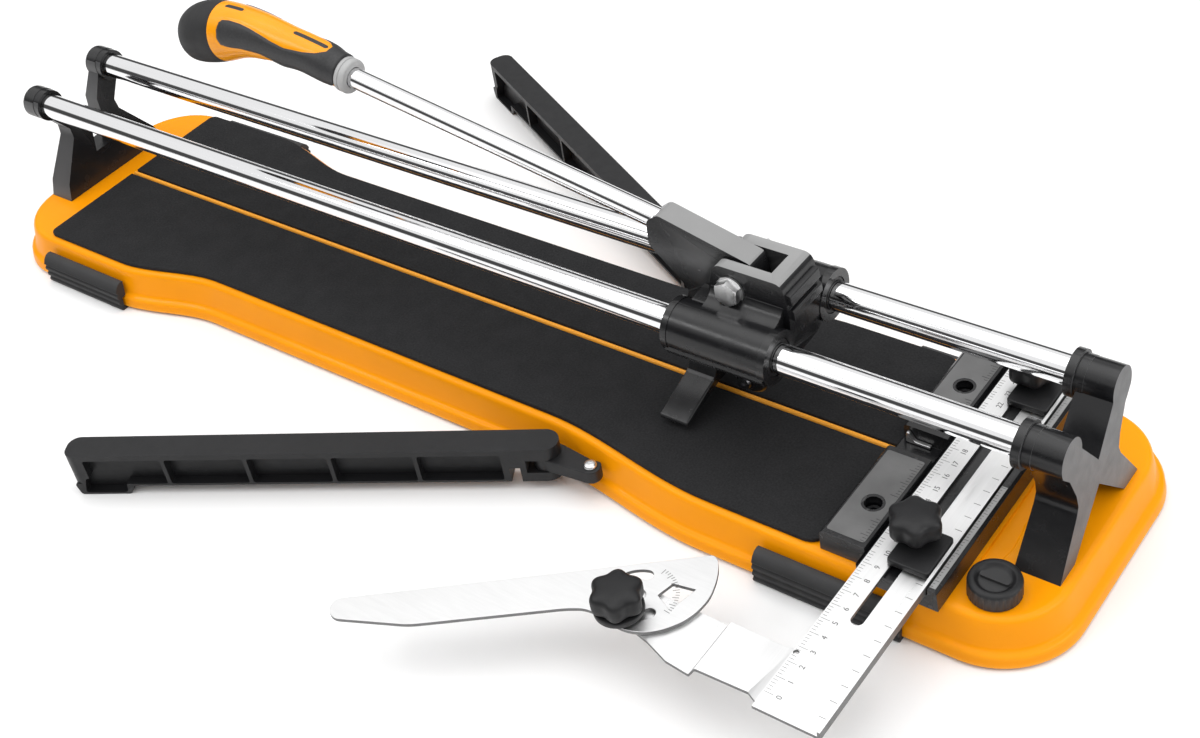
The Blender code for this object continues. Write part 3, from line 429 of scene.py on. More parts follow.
def prism(name, outline, low, high, place=None):
    """A flat outline of (u, v) points pulled from low to high, then placed by a matrix."""
    builder = bmesh.new()
    rings = [[builder.verts.new((u, v, w)) for u, v in outline] for w in (low, high)]
    count = len(outline)
    for i in range(count):
        j = (i + 1) % count
        builder.faces.new((rings[0][i], rings[0][j], rings[1][j], rings[1][i]))
    builder.faces.new(rings[0][::-1])
    builder.faces.new(rings[1])
    if place:
        bmesh.ops.transform(builder, matrix=place, verts=builder.verts)
    return make_object(name, builder)


def rectangle(x0, y0, x1, y1):
    return [(x0, y0), (x1, y0), (x1, y1), (x0, y1)]


def block(name, low, high):
    return prism(name, rectangle(*low[:2], *high[:2]), low[2], high[2])


def rod(name, start, end, radius, sides=48):
    start = Vector(start)
    along = Vector(end) - start
    turn = along.to_track_quat("Z", "Y").to_matrix().to_4x4()
    builder = bmesh.new()
    bmesh.ops.create_cone(
        builder,
        cap_ends=True,
        segments=sides,
        radius1=radius,
        radius2=radius,
        depth=along.length,
        matrix=Matrix.Translation(start + along / 2) @ turn,
    )
    return make_object(name, builder)


def loft(name, rings):
    """A skin through rings of points with the same count, capped at both ends."""
    builder = bmesh.new()
    made = [[builder.verts.new(point) for point in ring] for ring in rings]
    for first, second in zip(made, made[1:]):
        for i in range(len(first)):
            j = (i + 1) % len(first)
            builder.faces.new((first[i], first[j], second[j], second[i]))
    builder.faces.new(made[0][::-1])
    builder.faces.new(made[-1])
    return make_object(name, builder)


def angles(count):
    """Equal steps round a circle, in radians."""
    return [2 * math.pi * i / count for i in range(count)]


def lathe(name, profile, place=None, steps=64):
    """A closed profile of (radius, height) points turned about Z. A radius of 0 is a point on the axis."""
    builder = bmesh.new()
    turns = [(math.cos(angle), math.sin(angle)) for angle in angles(steps)]
    rings = []
    for radius, height in profile:
        if radius == 0:
            rings.append([builder.verts.new((0, 0, height))])
        else:
            rings.append([builder.verts.new((radius * c, radius * s, height)) for c, s in turns])
    for first, second in zip(rings, rings[1:] + rings[:1]):
        if len(first) == len(second) == 1:
            continue
        for i in range(steps):
            j = (i + 1) % steps
            corners = [first[i % len(first)], first[j % len(first)]]
            corners += [second[j % len(second)], second[i % len(second)]]
            builder.faces.new(list(dict.fromkeys(corners)))
    if place:
        bmesh.ops.transform(builder, matrix=place, verts=builder.verts)
    return make_object(name, builder)


def turned(name, profile, place, steps, slot, node, material=None, sharp=50.0):
    """A finished piece turned from a profile, for one CAD node."""
    show(smooth_shade(lathe(name, profile, place, steps), sharp), slot, node, material=material)


def standing(x, y, z=0.0):
    return Matrix.Translation((x, y, z))


def turn_z(degrees):
    return Matrix.Rotation(math.radians(degrees), 4, "Z")


def lying_y(x, y, z):
    """A place whose Z axis points along +Y."""
    return standing(x, y, z) @ Matrix.Rotation(-math.pi / 2, 4, "X")


# ---------------------------------------------------------------- outlines
def arc(centre, radius, start, end, steps):
    points = []
    for i in range(steps + 1):
        angle = math.radians(start + (end - start) * i / steps)
        points.append((centre[0] + radius * math.cos(angle), centre[1] + radius * math.sin(angle)))
    return points


def rounded(points, radius, steps=4):
    """The outline with each corner turned into a short curve."""
    made = []
    count = len(points)
    for i, corner in enumerate(points):
        corner = Vector(corner)
        before = Vector(points[i - 1]) - corner
        after = Vector(points[(i + 1) % count]) - corner
        reach = min(radius, before.length * 0.45, after.length * 0.45)
        start = corner + before.normalized() * reach
        end = corner + after.normalized() * reach
        for k in range(steps + 1):
            t = k / steps
            point = start * (1 - t) ** 2 + corner * 2 * t * (1 - t) + end * t**2
            made.append((point.x, point.y))
    return made


def smooth(t):
    t = min(max(t, 0.0), 1.0)
    return t * t * (3 - 2 * t)


def half_width(x, wide, waist):
    """The dog-bone's half width at x."""
    left = 1 - smooth((x - WAIST_LEFT[0]) / (WAIST_LEFT[1] - WAIST_LEFT[0]))
    right = smooth((x - WAIST_RIGHT[0]) / (WAIST_RIGHT[1] - WAIST_RIGHT[0]))
    return waist + (wide - waist) * max(left, right)


def waist_stations(steps=16):
    """Where the outline bends, from left to right."""
    stations = []
    for start, end in (WAIST_LEFT, WAIST_RIGHT):
        stations += [start + (end - start) * i / steps for i in range(steps + 1)]
    return stations


def tray_outline(grow, steps=14):
    front = [(x, -half_width(x, WIDE_HALF, WAIST_HALF) - grow) for x in waist_stations()]
    corner = RIGHT_CORNER
    right = arc((RIGHT_END - corner, corner - WIDE_HALF), corner + grow, -90, 0, steps)
    right += arc((RIGHT_END - corner, WIDE_HALF - corner), corner + grow, 0, 90, steps)
    rear = [(x, -y) for x, y in reversed(front)]
    corner = LEFT_CORNER
    left = arc((LEFT_END + corner, WIDE_HALF - corner), corner + grow, 90, 180, steps)
    left += arc((LEFT_END + corner, corner - WIDE_HALF), corner + grow, 180, 270, steps)
    return front + right + rear + left


def mirrored(half, middle=()):
    """The half outline, its mirror image across the middle, and any points between the two."""
    return half + [(-y, z) for y, z in reversed(half) if y > 0.01] + list(middle)


# ---------------------------------------------------------------- tray, pads and feet
def tray():
    """The pressed pan: a rolled top bend, a flared wall with a bead low down, and the lip."""
    bend = ((0.0, -4.0), (0.1, -2.6), (0.45, -1.4), (1.1, -0.4), (2.0, 0.3), (3.2, 0.8))
    profile = [(TRAY_TOP - drop, grow) for drop, grow in bend]
    profile += [(-9.0, 1.5), (-14.5, 2.7), (-18.8, 3.7), (-20.2, 4.3), (-20.9, 5.2), (-21.3, 6.2)]
    profile += [(-21.9, 7.1), (-22.9, 7.7), (-24.4, 8.0), (-26.4, 8.3), (-28.0, 8.7)]
    builder = bmesh.new()
    rings = [[builder.verts.new((x, y, z)) for x, y in tray_outline(grow)] for z, grow in profile]
    for upper, lower in zip(rings, rings[1:]):
        for i in range(len(upper)):
            j = (i + 1) % len(upper)
            builder.faces.new((upper[i], lower[i], lower[j], upper[j]))
    builder.faces.new(rings[0])
    made = make_object("tray", builder)
    sheet = made.modifiers.new("sheet", "SOLIDIFY")
    sheet.thickness = 1.8 * MM
    sheet.offset = -1
    sheet.use_even_offset = True
    apply_modifiers(made)
    combine(made, stamped_recess())
    show(smooth_shade(made, 40), "orange_paint", "base_tray")


def stamped_recess():
    """A shallow pressed hollow in the top sheet, between the fence and the right bracket's legs."""
    sides = [(372.0, -58.0), (372.0, 14.0), (376.0, 14.0), (380.5, -8.0), (383.0, -34.0), (380.0, -48.0)]
    outline = rounded(sides, 5.0, 6)
    middle = Vector((sum(x for x, _ in outline), sum(y for _, y in outline))) / len(outline)
    steps = ((1.5, -2.6), (-0.15, 0.0), (-0.8, 1.1), (-1.25, 3.0))
    rings = []
    for rise, inset in steps:
        ring = []
        for corner in outline:
            point = Vector(corner)
            point -= (point - middle).normalized() * inset
            ring.append((point.x, point.y, TRAY_TOP + rise))
        rings.append(ring)
    return loft("recess", rings)


def pads():
    """The foam sheets either side of the ridge, with a softly rolled top edge."""
    for name, side in SIDES:
        edge = [(x, half_width(x, WIDE_HALF - 3, WAIST_HALF - 3)) for x in waist_stations()]
        outer = WIDE_HALF - 3
        start = arc((5 - PAD_HALF, outer - 5), 5.0, 180, 90, 8)
        end = arc((PAD_HALF - 10, outer - 10), 10.0, 90, 0, 10)
        outline = [(-PAD_HALF, 2.4)] + start + edge + end + [(PAD_HALF, 2.4)]
        made = prism(f"pad_{name}", [(x, side * y) for x, y in outline], TRAY_TOP + 0.1, -0.1)
        soften(made, 0.7, 3, 40)
        show(made, "eva_foam", f"{name}_pad")


def ridge():
    """The rib that the tile snaps over, with a rounded top."""
    outline = [(-2.1, TRAY_TOP + 0.1), (2.1, TRAY_TOP + 0.1)] + arc((0, -1.5), 1.5, 0, 180, 10)
    made = prism("ridge", outline, 1 - PAD_HALF, PAD_HALF - 1, ACROSS_X)
    show(smooth_shade(made), "orange_paint", "breaking_ridge")


def feet():
    """Rubber channels on the tray's lip, ridged lengthwise."""
    outer = [(92.0, BENCH), (93.2, -29.2)]
    for middle in (-26.2, -21.6, -17.0):
        outer += [(93.5, middle - 1.5), (92.5, middle - 0.6), (92.5, middle + 0.6), (93.5, middle + 1.5)]
    outline = [(80.5, BENCH)] + outer
    outline += [(93.2, -15.4), (91.8, -12.6), (89.6, -10.6), (87.2, -9.9), (85.4, -10.4)]
    outline += [(86.8, -20.4), (90.0, -21.4), (90.4, -28.4), (84.6, -28.4), (84.6, -24.0), (80.5, -24.0)]
    for end, span in (("left", (-296.0, -222.0)), ("right", (268.0, 352.0))):
        for name, side in SIDES:
            made = prism(f"rubber_{name}_{end}", [(side * y, z) for y, z in outline], *span, ACROSS_X)
            soften(made, 0.5, 2, 35)
            show(made, "black_rubber", f"foot_{name}_{end}")


# ---------------------------------------------------------------- rail brackets and rails
def along_rail(name, start, end, side, radius, sides=48):
    """A round bar on a rail's axis, from one X to another."""
    return rod(name, (start, side * RAIL_Y, RAIL_Z), (end, side * RAIL_Y, RAIL_Z), radius, sides)


def rail_hole(start, end, side):
    return along_rail("rail_hole", start, end, side, RAIL_RADIUS + 0.2)


def lean_back(obj, from_x, slope):
    """Slopes the +X face back with height."""
    for vertex in obj.data.vertices:
        if vertex.co.x > from_x * MM:
            vertex.co.x -= slope * max(vertex.co.z - TRAY_TOP * MM, 0)


def left_bracket():
    """Two posts on one foot, leaning a little, with closed hubs for the rails."""
    half = [(44.0, TRAY_TOP + 0.1), (40.0, 8.0), (21.0, 34.0), (20.5, 41.0), (30.0, 54.0)]
    half += arc((RAIL_Y, RAIL_Z), 10.8, -20, 190, 24) + [(8.0, 48.0), (6.0, 30.0), (9.5, 17.0)]
    outline = mirrored(half)
    made = prism("bracket_left", outline, -338.0, -318.0, ACROSS_X)
    lean_back(made, -328.0, 0.15)
    hubs = [along_rail("hub", -339.4, -324.0, side, 10.5, 56) for side in (-1, 1)]
    combine(made, *hubs, operation="UNION")
    combine(made, *[rail_hole(-336.4, -300.0, side) for side in (-1, 1)])
    soften(made, 0.9, 3, 35)
    show(made, "black_casting", "left_rail_bracket")
    # Painted sheen on the posts' front faces.
    face_material(made, PAINTED_SHEEN_FACE, lambda centre, normal: normal.y < -0.8)


def right_bracket():
    """An X of thick arms with a collar at each rail."""
    half = [(45.0, TRAY_TOP + 0.1), (25.0, 25.0), (23.0, 30.0), (24.5, 38.0), (31.0, 52.5)]
    half += arc((RAIL_Y, RAIL_Z), 10.8, -30, 190, 24)
    legs = [(-29.0, TRAY_TOP + 0.1), (0.0, 25.5), (29.0, TRAY_TOP + 0.1)]
    made = prism("bracket_right", mirrored(half + [(0.0, 41.0)], legs), 388.5, 412.3, ACROSS_X)
    lean_back(made, 400.0, 0.07)
    for side in (-1, 1):
        collar = along_rail("collar", 382.6, 387.0, side, 12.5, 56)
        barrel = along_rail("barrel", 386.0, 392.0, side, 11.0, 56)
        combine(made, collar, barrel, operation="UNION")
    combine(made, *[rail_hole(370.0, 396.0, side) for side in (-1, 1)])
    soften(made, 1.1, 3, 35)
    show(made, "black_casting", "right_rail_bracket")
    # Painted sheen on the +X faces.
    face_material(made, PAINTED_SHEEN_FACE, lambda centre, normal: normal.x > 0.6)


def rails():
    for name, side in SIDES:
        made = along_rail(f"{name}_rail_tube", -336.2, 395.5, side, RAIL_RADIUS, 96)
        show(soften(made, 0.5, 2), "chrome", f"{name}_rail")


# ---------------------------------------------------------------- fence and ruler
def fence():
    """The stop block with the wheel notch, the ruler's channel and the scale strip."""
    base = TRAY_TOP + 0.1
    left, right = FENCE_BLOCK
    inner, outer = FENCE_STRIP
    outline = [(left, base), (outer, base), (outer - 0.8, FENCE_TOP - 1.5), (outer - 2.2, FENCE_TOP)]
    outline += [(inner, FENCE_TOP), (inner, 6.0), (right + 0.8, 6.0), (right, FENCE_TOP)]
    outline += [(left + 1.4, FENCE_TOP), (left, FENCE_TOP - 1.4)]
    made = prism("fence", outline, -STRIP_HALF, STRIP_HALF, ACROSS_Y)
    tools = [block("notch", (280, -8.5, 0.6), (right + 0.4, 8.5, 30))]
    for side in (-1, 1):
        low, high = sorted((side * FENCE_HALF, side * 200))
        tools.append(block("end", (280, low, -20), (right + 0.4, high, 30)))
    for y in (-FENCE_HOLE_Y, FENCE_HOLE_Y):
        tools.append(rod("sink", (FENCE_HOLE_X, y, 1.5), (FENCE_HOLE_X, y, 30), 4.6, 32))
    combine(made, *tools)
    soften(made, 0.6, 3, 35)
    show(made, "black_casting", "fence_base")
    for name, y in (("front", -FENCE_HOLE_Y), ("rear", FENCE_HOLE_Y)):
        head = [(0, 3.4), (1.6, 3.4), (1.9, 4.9), (3.6, 4.9), (4.2, 4.2), (4.2, 1.6), (0, 1.6)]
        place = standing(FENCE_HOLE_X, y)
        black = MATERIALS["black_casting"]
        turned(f"sunk_screw_{name}", head, place, 32, "zinc_steel", f"fence_screw_{name}", black)


def fence_labels():
    """The pale printed areas on the fence's blocks and strip, with their graduations."""
    under = FENCE_TOP - 0.2
    top = FENCE_TOP + 0.12
    for name, side in SIDES:
        low, high = sorted((side * 12.0, side * 75.0))
        corners = rounded(rectangle(302.6, low, 323.8, high), 1.5)
        plate = prism(f"fence_label_{name}", corners, under, top)
        hole_y = side * FENCE_HOLE_Y
        combine(plate, rod("hole", (FENCE_HOLE_X, hole_y, 0), (FENCE_HOLE_X, hole_y, 30), 6.2, 40))
        dress(smooth_shade(plate), FENCE_LABEL, "base")
        low, high = sorted((side * 9.0, side * 85.0))
        strip = block(f"strip_scale_{name}", (364.5, low, under), (367.6, high, top))
        dress(smooth_shade(strip), SCALE_PLATE, "base")
    marks = []
    for i in range(-84, 85, 2):
        if abs(i) < 10:
            continue
        reach = 2.4 if i % 10 == 0 else 1.3
        marks.append(((364.7, i - 0.12), (364.7 + reach, i + 0.12)))
    dress(mark_mesh("strip_marks", marks, top), PRINT_BLACK, "base")
    block_marks = []
    for i in range(-74, 75, 2):
        if abs(i) > 13 and abs(abs(i) - FENCE_HOLE_Y) > 7:
            reach = 4.2 if i % 10 == 0 else 2.2
            block_marks.append(((323.4 - reach, i - 0.14), (323.4, i + 0.14)))
    dress(mark_mesh("block_marks", block_marks, top), PRINT_BLACK, "base")


def bars(name, places):
    """Thin bars as one mesh: each place is a matrix that turns a cube of 1 mm into a bar."""
    builder = bmesh.new()
    for place in places:
        bmesh.ops.create_cube(builder, size=1, matrix=place)
    return make_object(name, builder)


def mark_mesh(name, marks, z, height=0.06):
    """Printed bars along X or Y: each mark is ((x0, y0), (x1, y1))."""
    places = []
    for (x0, y0), (x1, y1) in marks:
        middle = standing((x0 + x1) / 2, (y0 + y1) / 2, z + height / 2)
        places.append(middle @ Matrix.Diagonal((x1 - x0, y1 - y0, height, 1)))
    return bars(name, places)


def number_mesh(name, items, size, z, turn):
    """Numbers as one mesh: each item is (text, x, y)."""
    builder = bmesh.new()
    for text, x, y in items:
        curve = bpy.data.curves.new("number", "FONT")
        curve.body = text
        curve.size = size
        curve.align_x = "CENTER"
        curve.align_y = "CENTER"
        curve.extrude = 0.03
        curve.resolution_u = 3
        letter = place_in_scene("number", curve)
        graph = bpy.context.evaluated_depsgraph_get()
        mesh = bpy.data.meshes.new_from_object(letter.evaluated_get(graph), depsgraph=graph)
        mesh.transform(standing(x, y, z) @ turn_z(turn))
        builder.from_mesh(mesh)
        bpy.data.objects.remove(letter)
        bpy.data.curves.remove(curve)
        bpy.data.meshes.remove(mesh)
    return make_object(name, builder)


def pointer():
    """The bent hook in the wheel notch that shows the line of the cut."""
    outline = rounded([(0, 0), (14, 0), (14, 1.6), (5, 1.6), (1.6, 6.5), (0, 6.5)], 1.2)
    made = prism("cut_pointer", outline, 0.0, 2.4, standing(303.0, 5.7, 1.0) @ ACROSS_Y)
    show(soften(made, 0.3, 2), "bright_steel", "cut_line_pointer")


def ruler():
    """One bent steel sheet: the rule with its slot and raised right edge, and the mitre foot at its end."""
    left, right = RULER_X
    edge = right - 1.6
    rim = RULER_TOP + 3.2
    outline = [(left, RULER_BOTTOM), (right, RULER_BOTTOM), (right, rim), (edge, rim)]
    outline += [(edge, RULER_TOP), (left, RULER_TOP)]
    made = prism("steel_rule", outline, *RULER_Y, ACROSS_Y)
    slot_ends = arc((SLOT_X, -117.7), 3.3, 180, 360, 14) + arc((SLOT_X, 74.7), 3.3, 0, 180, 14)
    combine(made, prism("slot", slot_ends, 0.0, 20.0))
    low = MITRE_FLOOR + 2.0
    shelf = RULER_TOP - 1.9
    upper = [(345.0, RULER_TOP), (RULER_X[0], RULER_TOP), (321.5, shelf), (292.5, shelf)]
    upper += [(290.0, low), (224.0, low)]
    section = upper + [(x, z - 2.0) for x, z in reversed(upper)]
    foot = prism("foot", section, -186.0, -140.0, ACROSS_Y)
    plan = [(224.0, -153.0), (229.0, -148.5), (243.0, -145.5), (350.0, -147.0), (350.0, -182.5)]
    plan += [(329.5, -182.5), (321.5, -177.6), (293.5, -178.4), (289.5, -180.2), (276.0, -178.8)]
    plan += [(262.0, -173.5), (246.0, -169.5), (233.0, -169.0), (225.0, -163.0)]
    combine(foot, prism("plan", plan, -10.0, 30.0), operation="INTERSECT")
    combine(made, foot, operation="UNION")
    x, y = mitre_bolt_place()
    combine(
        made,
        rod("dot", (329.6, -148.2, 0), (329.6, -148.2, 20), 1.5, 20),
        rod("bolt_hole", (x, y, -20), (x, y, 20), 2.7, 20),
    )
    show(soften(made, 0.35, 2, 28), "bright_steel", "ruler")
    # Painted shade on the sheet's upright edge faces.
    face_material(made, PAINTED_SHADE_EDGE, shaded_upright_face)
    ruler_print()


def ruler_print():
    """Graduations along both edges of the rule, and a number at each centimetre."""
    left, right, numbers = [], [], []
    for i in range(0, 258, 2):
        y = RULER_Y[0] + 10.0 + i
        reach = 5.0 if i % 10 == 0 else 2.4
        under_clamp = any(middle - 21 < y < middle + 10 for middle in (-62, 66))
        if not under_clamp or reach < 5:
            left.append(((RULER_X[0] + 0.5, y - 0.11), (RULER_X[0] + 0.5 + reach, y + 0.11)))
        if i % 10 == 0:
            right.append(((RULER_X[1] - 6.6, y - 0.15), (RULER_X[1] - 2.4, y + 0.15)))
            numbers.append((str(i // 10), RULER_X[0] + 8.6, y))
    dress(mark_mesh("rule_marks", left + right, RULER_TOP, 0.04), PRINT_GREY, "ruler")
    dress(number_mesh("rule_numbers", numbers, 4.2, RULER_TOP + 0.03, 90), PRINT_GREY, "ruler")


def clamp_sets():
    """For each clamp: the stud, the plate on the rule and the star knob."""
    for which, y in (("front", CLAMP_Y[0]), ("rear", CLAMP_Y[1])):
        profile = [(0, 21), (2.3, 21), (2.7, 20.4), (2.7, -2.5), (0, -2.5)]
        turned(f"stud_{which}", profile, standing(SLOT_X, y), 24, "zinc_steel", f"clamp_stud_{which}")
        corners = rounded(rectangle(SLOT_X - 5.5, y - 20.0, RULER_X[1] - 2.2, y + 8.0), 2.5)
        plate = prism(f"clamp_bar_{which}", corners, RULER_TOP + 0.3, RULER_TOP + 4.2)
        combine(plate, rod("hole", (SLOT_X, y, 0), (SLOT_X, y, 30), 3.1, 24))
        show(soften(plate, 0.8, 3, 40), "black_plastic", f"clamp_plate_{which}")
        star_knob(f"clamp_knob_{which}", SLOT_X, y, RULER_TOP + 4.5, 7.5)


def star_knob(node, x, y, base, flange):
    """Six soft lobes, a domed top, and a round foot."""
    levels = [
        (3.4, 0.80), (3.9, 0.88), (4.8, 0.95), (6.0, 0.99), (9.0, 1.0), (12.2, 1.0),
        (13.4, 0.98), (14.5, 0.93), (15.4, 0.84), (16.0, 0.70), (16.35, 0.5), (16.5, 0.28), (16.5, 0.05),
    ]
    rings = []
    for height, size in levels:
        ring = []
        lobes = smooth((size - 0.45) / 0.4)
        for angle in angles(120):
            reach = (12.8 + 1.1 * math.cos(6 * angle) * lobes) * size
            ring.append((x + reach * math.cos(angle), y + reach * math.sin(angle), base + height))
        rings.append(ring)
    made = loft(f"star_{node}", rings)
    profile = [(0, 0.0), (flange - 0.4, 0.0), (flange, 0.5), (flange, 2.4), (flange - 0.8, 3.1)]
    profile += [(7.2, 3.2), (7.0, 6.0), (0, 6.0)]
    combine(made, lathe("foot", profile, standing(x, y, base), 64), operation="UNION")
    show(smooth_shade(made, 45), "black_plastic", node)


# ---------------------------------------------------------------- mitre stop
def mitre_bolt_place():
    angle = math.radians(180 + MITRE_ANGLE + MITRE_BOLT_ANGLE)
    x, y = MITRE_PIVOT
    return x + MITRE_BOLT_RADIUS * math.cos(angle), y + MITRE_BOLT_RADIUS * math.sin(angle)


def curved_slot(radius, half, start, end):
    """A slot of round ends along an arc about the origin."""
    far = Vector((math.cos(math.radians(end)), math.sin(math.radians(end)))) * radius
    near = Vector((math.cos(math.radians(start)), math.sin(math.radians(start)))) * radius
    outer = arc((0, 0), radius + half, start, end, 40)
    inner = arc((0, 0), radius - half, end, start, 32)
    far_end = arc(far, half, end, end + 180, 8)[1:-1]
    near_end = arc(near, half, start + 180, start + 360, 8)[1:-1]
    return outer + far_end + inner + near_end


def mitre_arm():
    """The flat arm with its broad head, the curved slot and the angle window."""
    head = [(-38.5, -20.4), (-40.3, -17.0), (-40.2, -11.0), (-38.6, -3.5), (-34.6, 6.9), (-27.9, 14.8)]
    head += [(-20.1, 20.5), (-10.2, 23.9), (-2.0, 24.4), (7.0, 22.0), (15.0, 15.6), (21.0, 8.6)]
    blade = [(27.0, 4.6), (36.0, 3.2), (114.0, 2.2), (151.5, -7.2), (154.5, -10.5), (155.2, -15.0)]
    blade += [(152.5, -20.4)]
    made = prism("mitre_blade", rounded(head + blade, 5.0, 5), *MITRE_BLADE)
    window = rounded([(-9.2, 1.5), (-17.1, -4.8), (-28.2, 0.9), (-14.6, 12.3)], 0.8)
    slot = prism("slot", curved_slot(MITRE_BOLT_RADIUS, 3.2, -112.0, 110.0), -10, 30)
    combine(made, slot, prism("window", window, -10, 30))
    place = standing(*MITRE_PIVOT) @ turn_z(180 + MITRE_ANGLE)
    soften(made, 0.4, 2, 35)
    degree_marks(place)
    move_mesh(made, place)
    show(made, "bright_steel", "mitre_arm", material=MITRE_STEEL)
    # Painted shade on the arm's upright edge faces.
    face_material(made, PAINTED_SHADE_EDGE, shaded_upright_face)


def degree_marks(place):
    """Graduations round the head, every 5 degrees."""
    places = []
    for i in range(-9, 10):
        length = 3.4 if i % 3 == 0 else 2.0
        shift = standing(20.2 - length / 2, 0, MITRE_BLADE[1] + 0.03)
        size = Matrix.Diagonal((length, 0.3, 0.06, 1))
        places.append(place @ turn_z(180 + 5 * i) @ shift @ size)
    dress(bars("degree_marks", places), PRINT_GREY, "mitre_arm")


def mitre_fasteners():
    top = MITRE_BLADE[1]
    under = MITRE_FLOOR - 0.3
    rivet = [(0, top + 1.0), (1.8, top + 0.95), (3.0, top + 0.7), (3.8, top + 0.1), (2.0, top)]
    rivet += [(2.0, under), (4.0, under), (3.0, under - 1.1), (0, under - 1.3)]
    turned("mitre_rivet", rivet, standing(*MITRE_PIVOT), 32, "zinc_steel", "mitre_pivot_rivet")
    x, y = mitre_bolt_place()
    bolt = [(0, top + 9.4), (2.5, top + 9.4), (2.5, under), (5.0, under)]
    bolt += [(4.6, under - 2.3), (0, under - 2.5)]
    turned("mitre_bolt", bolt, standing(x, y), 32, "zinc_steel", "mitre_clamp_bolt")
    star_knob("mitre_clamp_knob", x, y, top + 1.3, 12.8)


# ---------------------------------------------------------------- side supports
def support_arms():
    """The same moulded channel on both sides: rounded pockets between cross ribs, and a foot at the tip."""
    half = ARM_WIDTH / 2
    for which, side in SIDES:
        reach = ARM_REACH[which]
        corner = half * 0.8
        outline = arc((0, 0), half, 270, 90, 24)
        outline += arc((reach - corner, half - corner), corner, 90, 0, 10)
        outline += arc((reach - corner, corner - half), corner, 0, -90, 10)
        made = prism(f"arm_{which}", outline, ARM_BOTTOM, ARM_TOP)
        low_edge = ARM_BOTTOM + 2
        foot = [(reach - 38, low_edge), (reach - 34, BENCH), (reach - 3, BENCH), (reach - 1, low_edge)]
        combine(made, prism("foot", rounded(foot, 2.0), -half * 0.1, half, ACROSS_Y), operation="UNION")
        combine(made, *arm_cutters(reach, half))
        soften(made, 0.7, 3, 35)
        hinge_place = standing(ARM_PIVOT[0], side * ARM_PIVOT[1])
        move_mesh(made, hinge_place @ turn_z(180 - side * ARM_ANGLE[which]))
        show(made, "black_plastic", f"support_arm_{which}")
        hinge(which, side)


def arm_cutters(reach, half):
    """The pockets between the ribs, the foot's hollow, the notch by the hinge, and the hinge's own gap."""
    first = 24.0
    ribs = 5
    depth = (half - 6.0, half + 5)
    pitch = (reach - 9.0 - first) / ribs
    tools = []
    for i in range(ribs):
        start = first + i * pitch
        end = start + pitch - 2.4
        pocket = rounded(rectangle(start, ARM_BOTTOM + 1.4, end, -3.9), 1.6)
        tools.append(prism("pocket", pocket, *depth, ACROSS_Y))
    hollow = [(reach - 32, BENCH + 1.4), (reach - 6, BENCH + 1.4)]
    hollow += [(reach - 9, ARM_BOTTOM + 6), (reach - 34, ARM_BOTTOM + 6)]
    tools.append(prism("hollow", rounded(hollow, 2.0), *depth, ACROSS_Y))
    tools.append(block("notch", (14.0, -half * 1.2, ARM_BOTTOM - 1), (20.0, half * 1.2, ARM_BOTTOM + 10)))
    tools.append(block("relief", (-12, -12, -17.2), (10.5, 12, -8.4)))
    tools.append(rod("pin", (0, 0, -40), (0, 0, -2.0), 3.2, 32))
    return tools


def move_mesh(obj, place):
    """Moves the mesh itself by a matrix in millimetres."""
    obj.data.transform(Matrix.Scale(MM, 4) @ place @ Matrix.Scale(1 / MM, 4))


def hinge(which, side):
    """The lug that carries a side support, the pin it turns on and the screw that holds the lug."""
    x, y = ARM_PIVOT
    outline = arc((x, y), 7.6, 60, 250, 24)
    outline += [(x - 2.0, 73.9), (x + 6.0, 74.0), (x + 16.0, 75.0), (x + 26.0, 76.2)]
    outline += arc(LUG_SCREW, 6.0, -60, 90, 14)
    made = prism(f"lug_{which}", [(u, side * v) for u, v in outline], *LUG_Z)
    for u, v in (ARM_PIVOT, LUG_SCREW):
        combine(made, rod("bore", (u, side * v, -40), (u, side * v, 10), 2.8, 24))
    show(soften(made, 0.6, 3, 35), "black_plastic", f"hinge_lug_{which}")
    pin = [(0, -2.6), (2.0, -2.6), (2.6, -3.2), (2.6, -22.0), (0, -22.0)]
    turned(f"pin_{which}", pin, standing(x, side * y), 24, "zinc_steel", f"hinge_pin_{which}")
    top = LUG_Z[1] + 0.3
    screw = [(0, top + 1.2), (1.2, top + 1.2), (1.4, top + 1.8), (2.6, top + 1.7), (3.6, top + 1.0)]
    screw += [(3.8, top), (2.6, top), (2.6, -17.6), (0, -17.6)]
    place = standing(LUG_SCREW[0], side * LUG_SCREW[1])
    turned(f"lug_screw_{which}", screw, place, 24, "zinc_steel", f"hinge_screw_{which}")


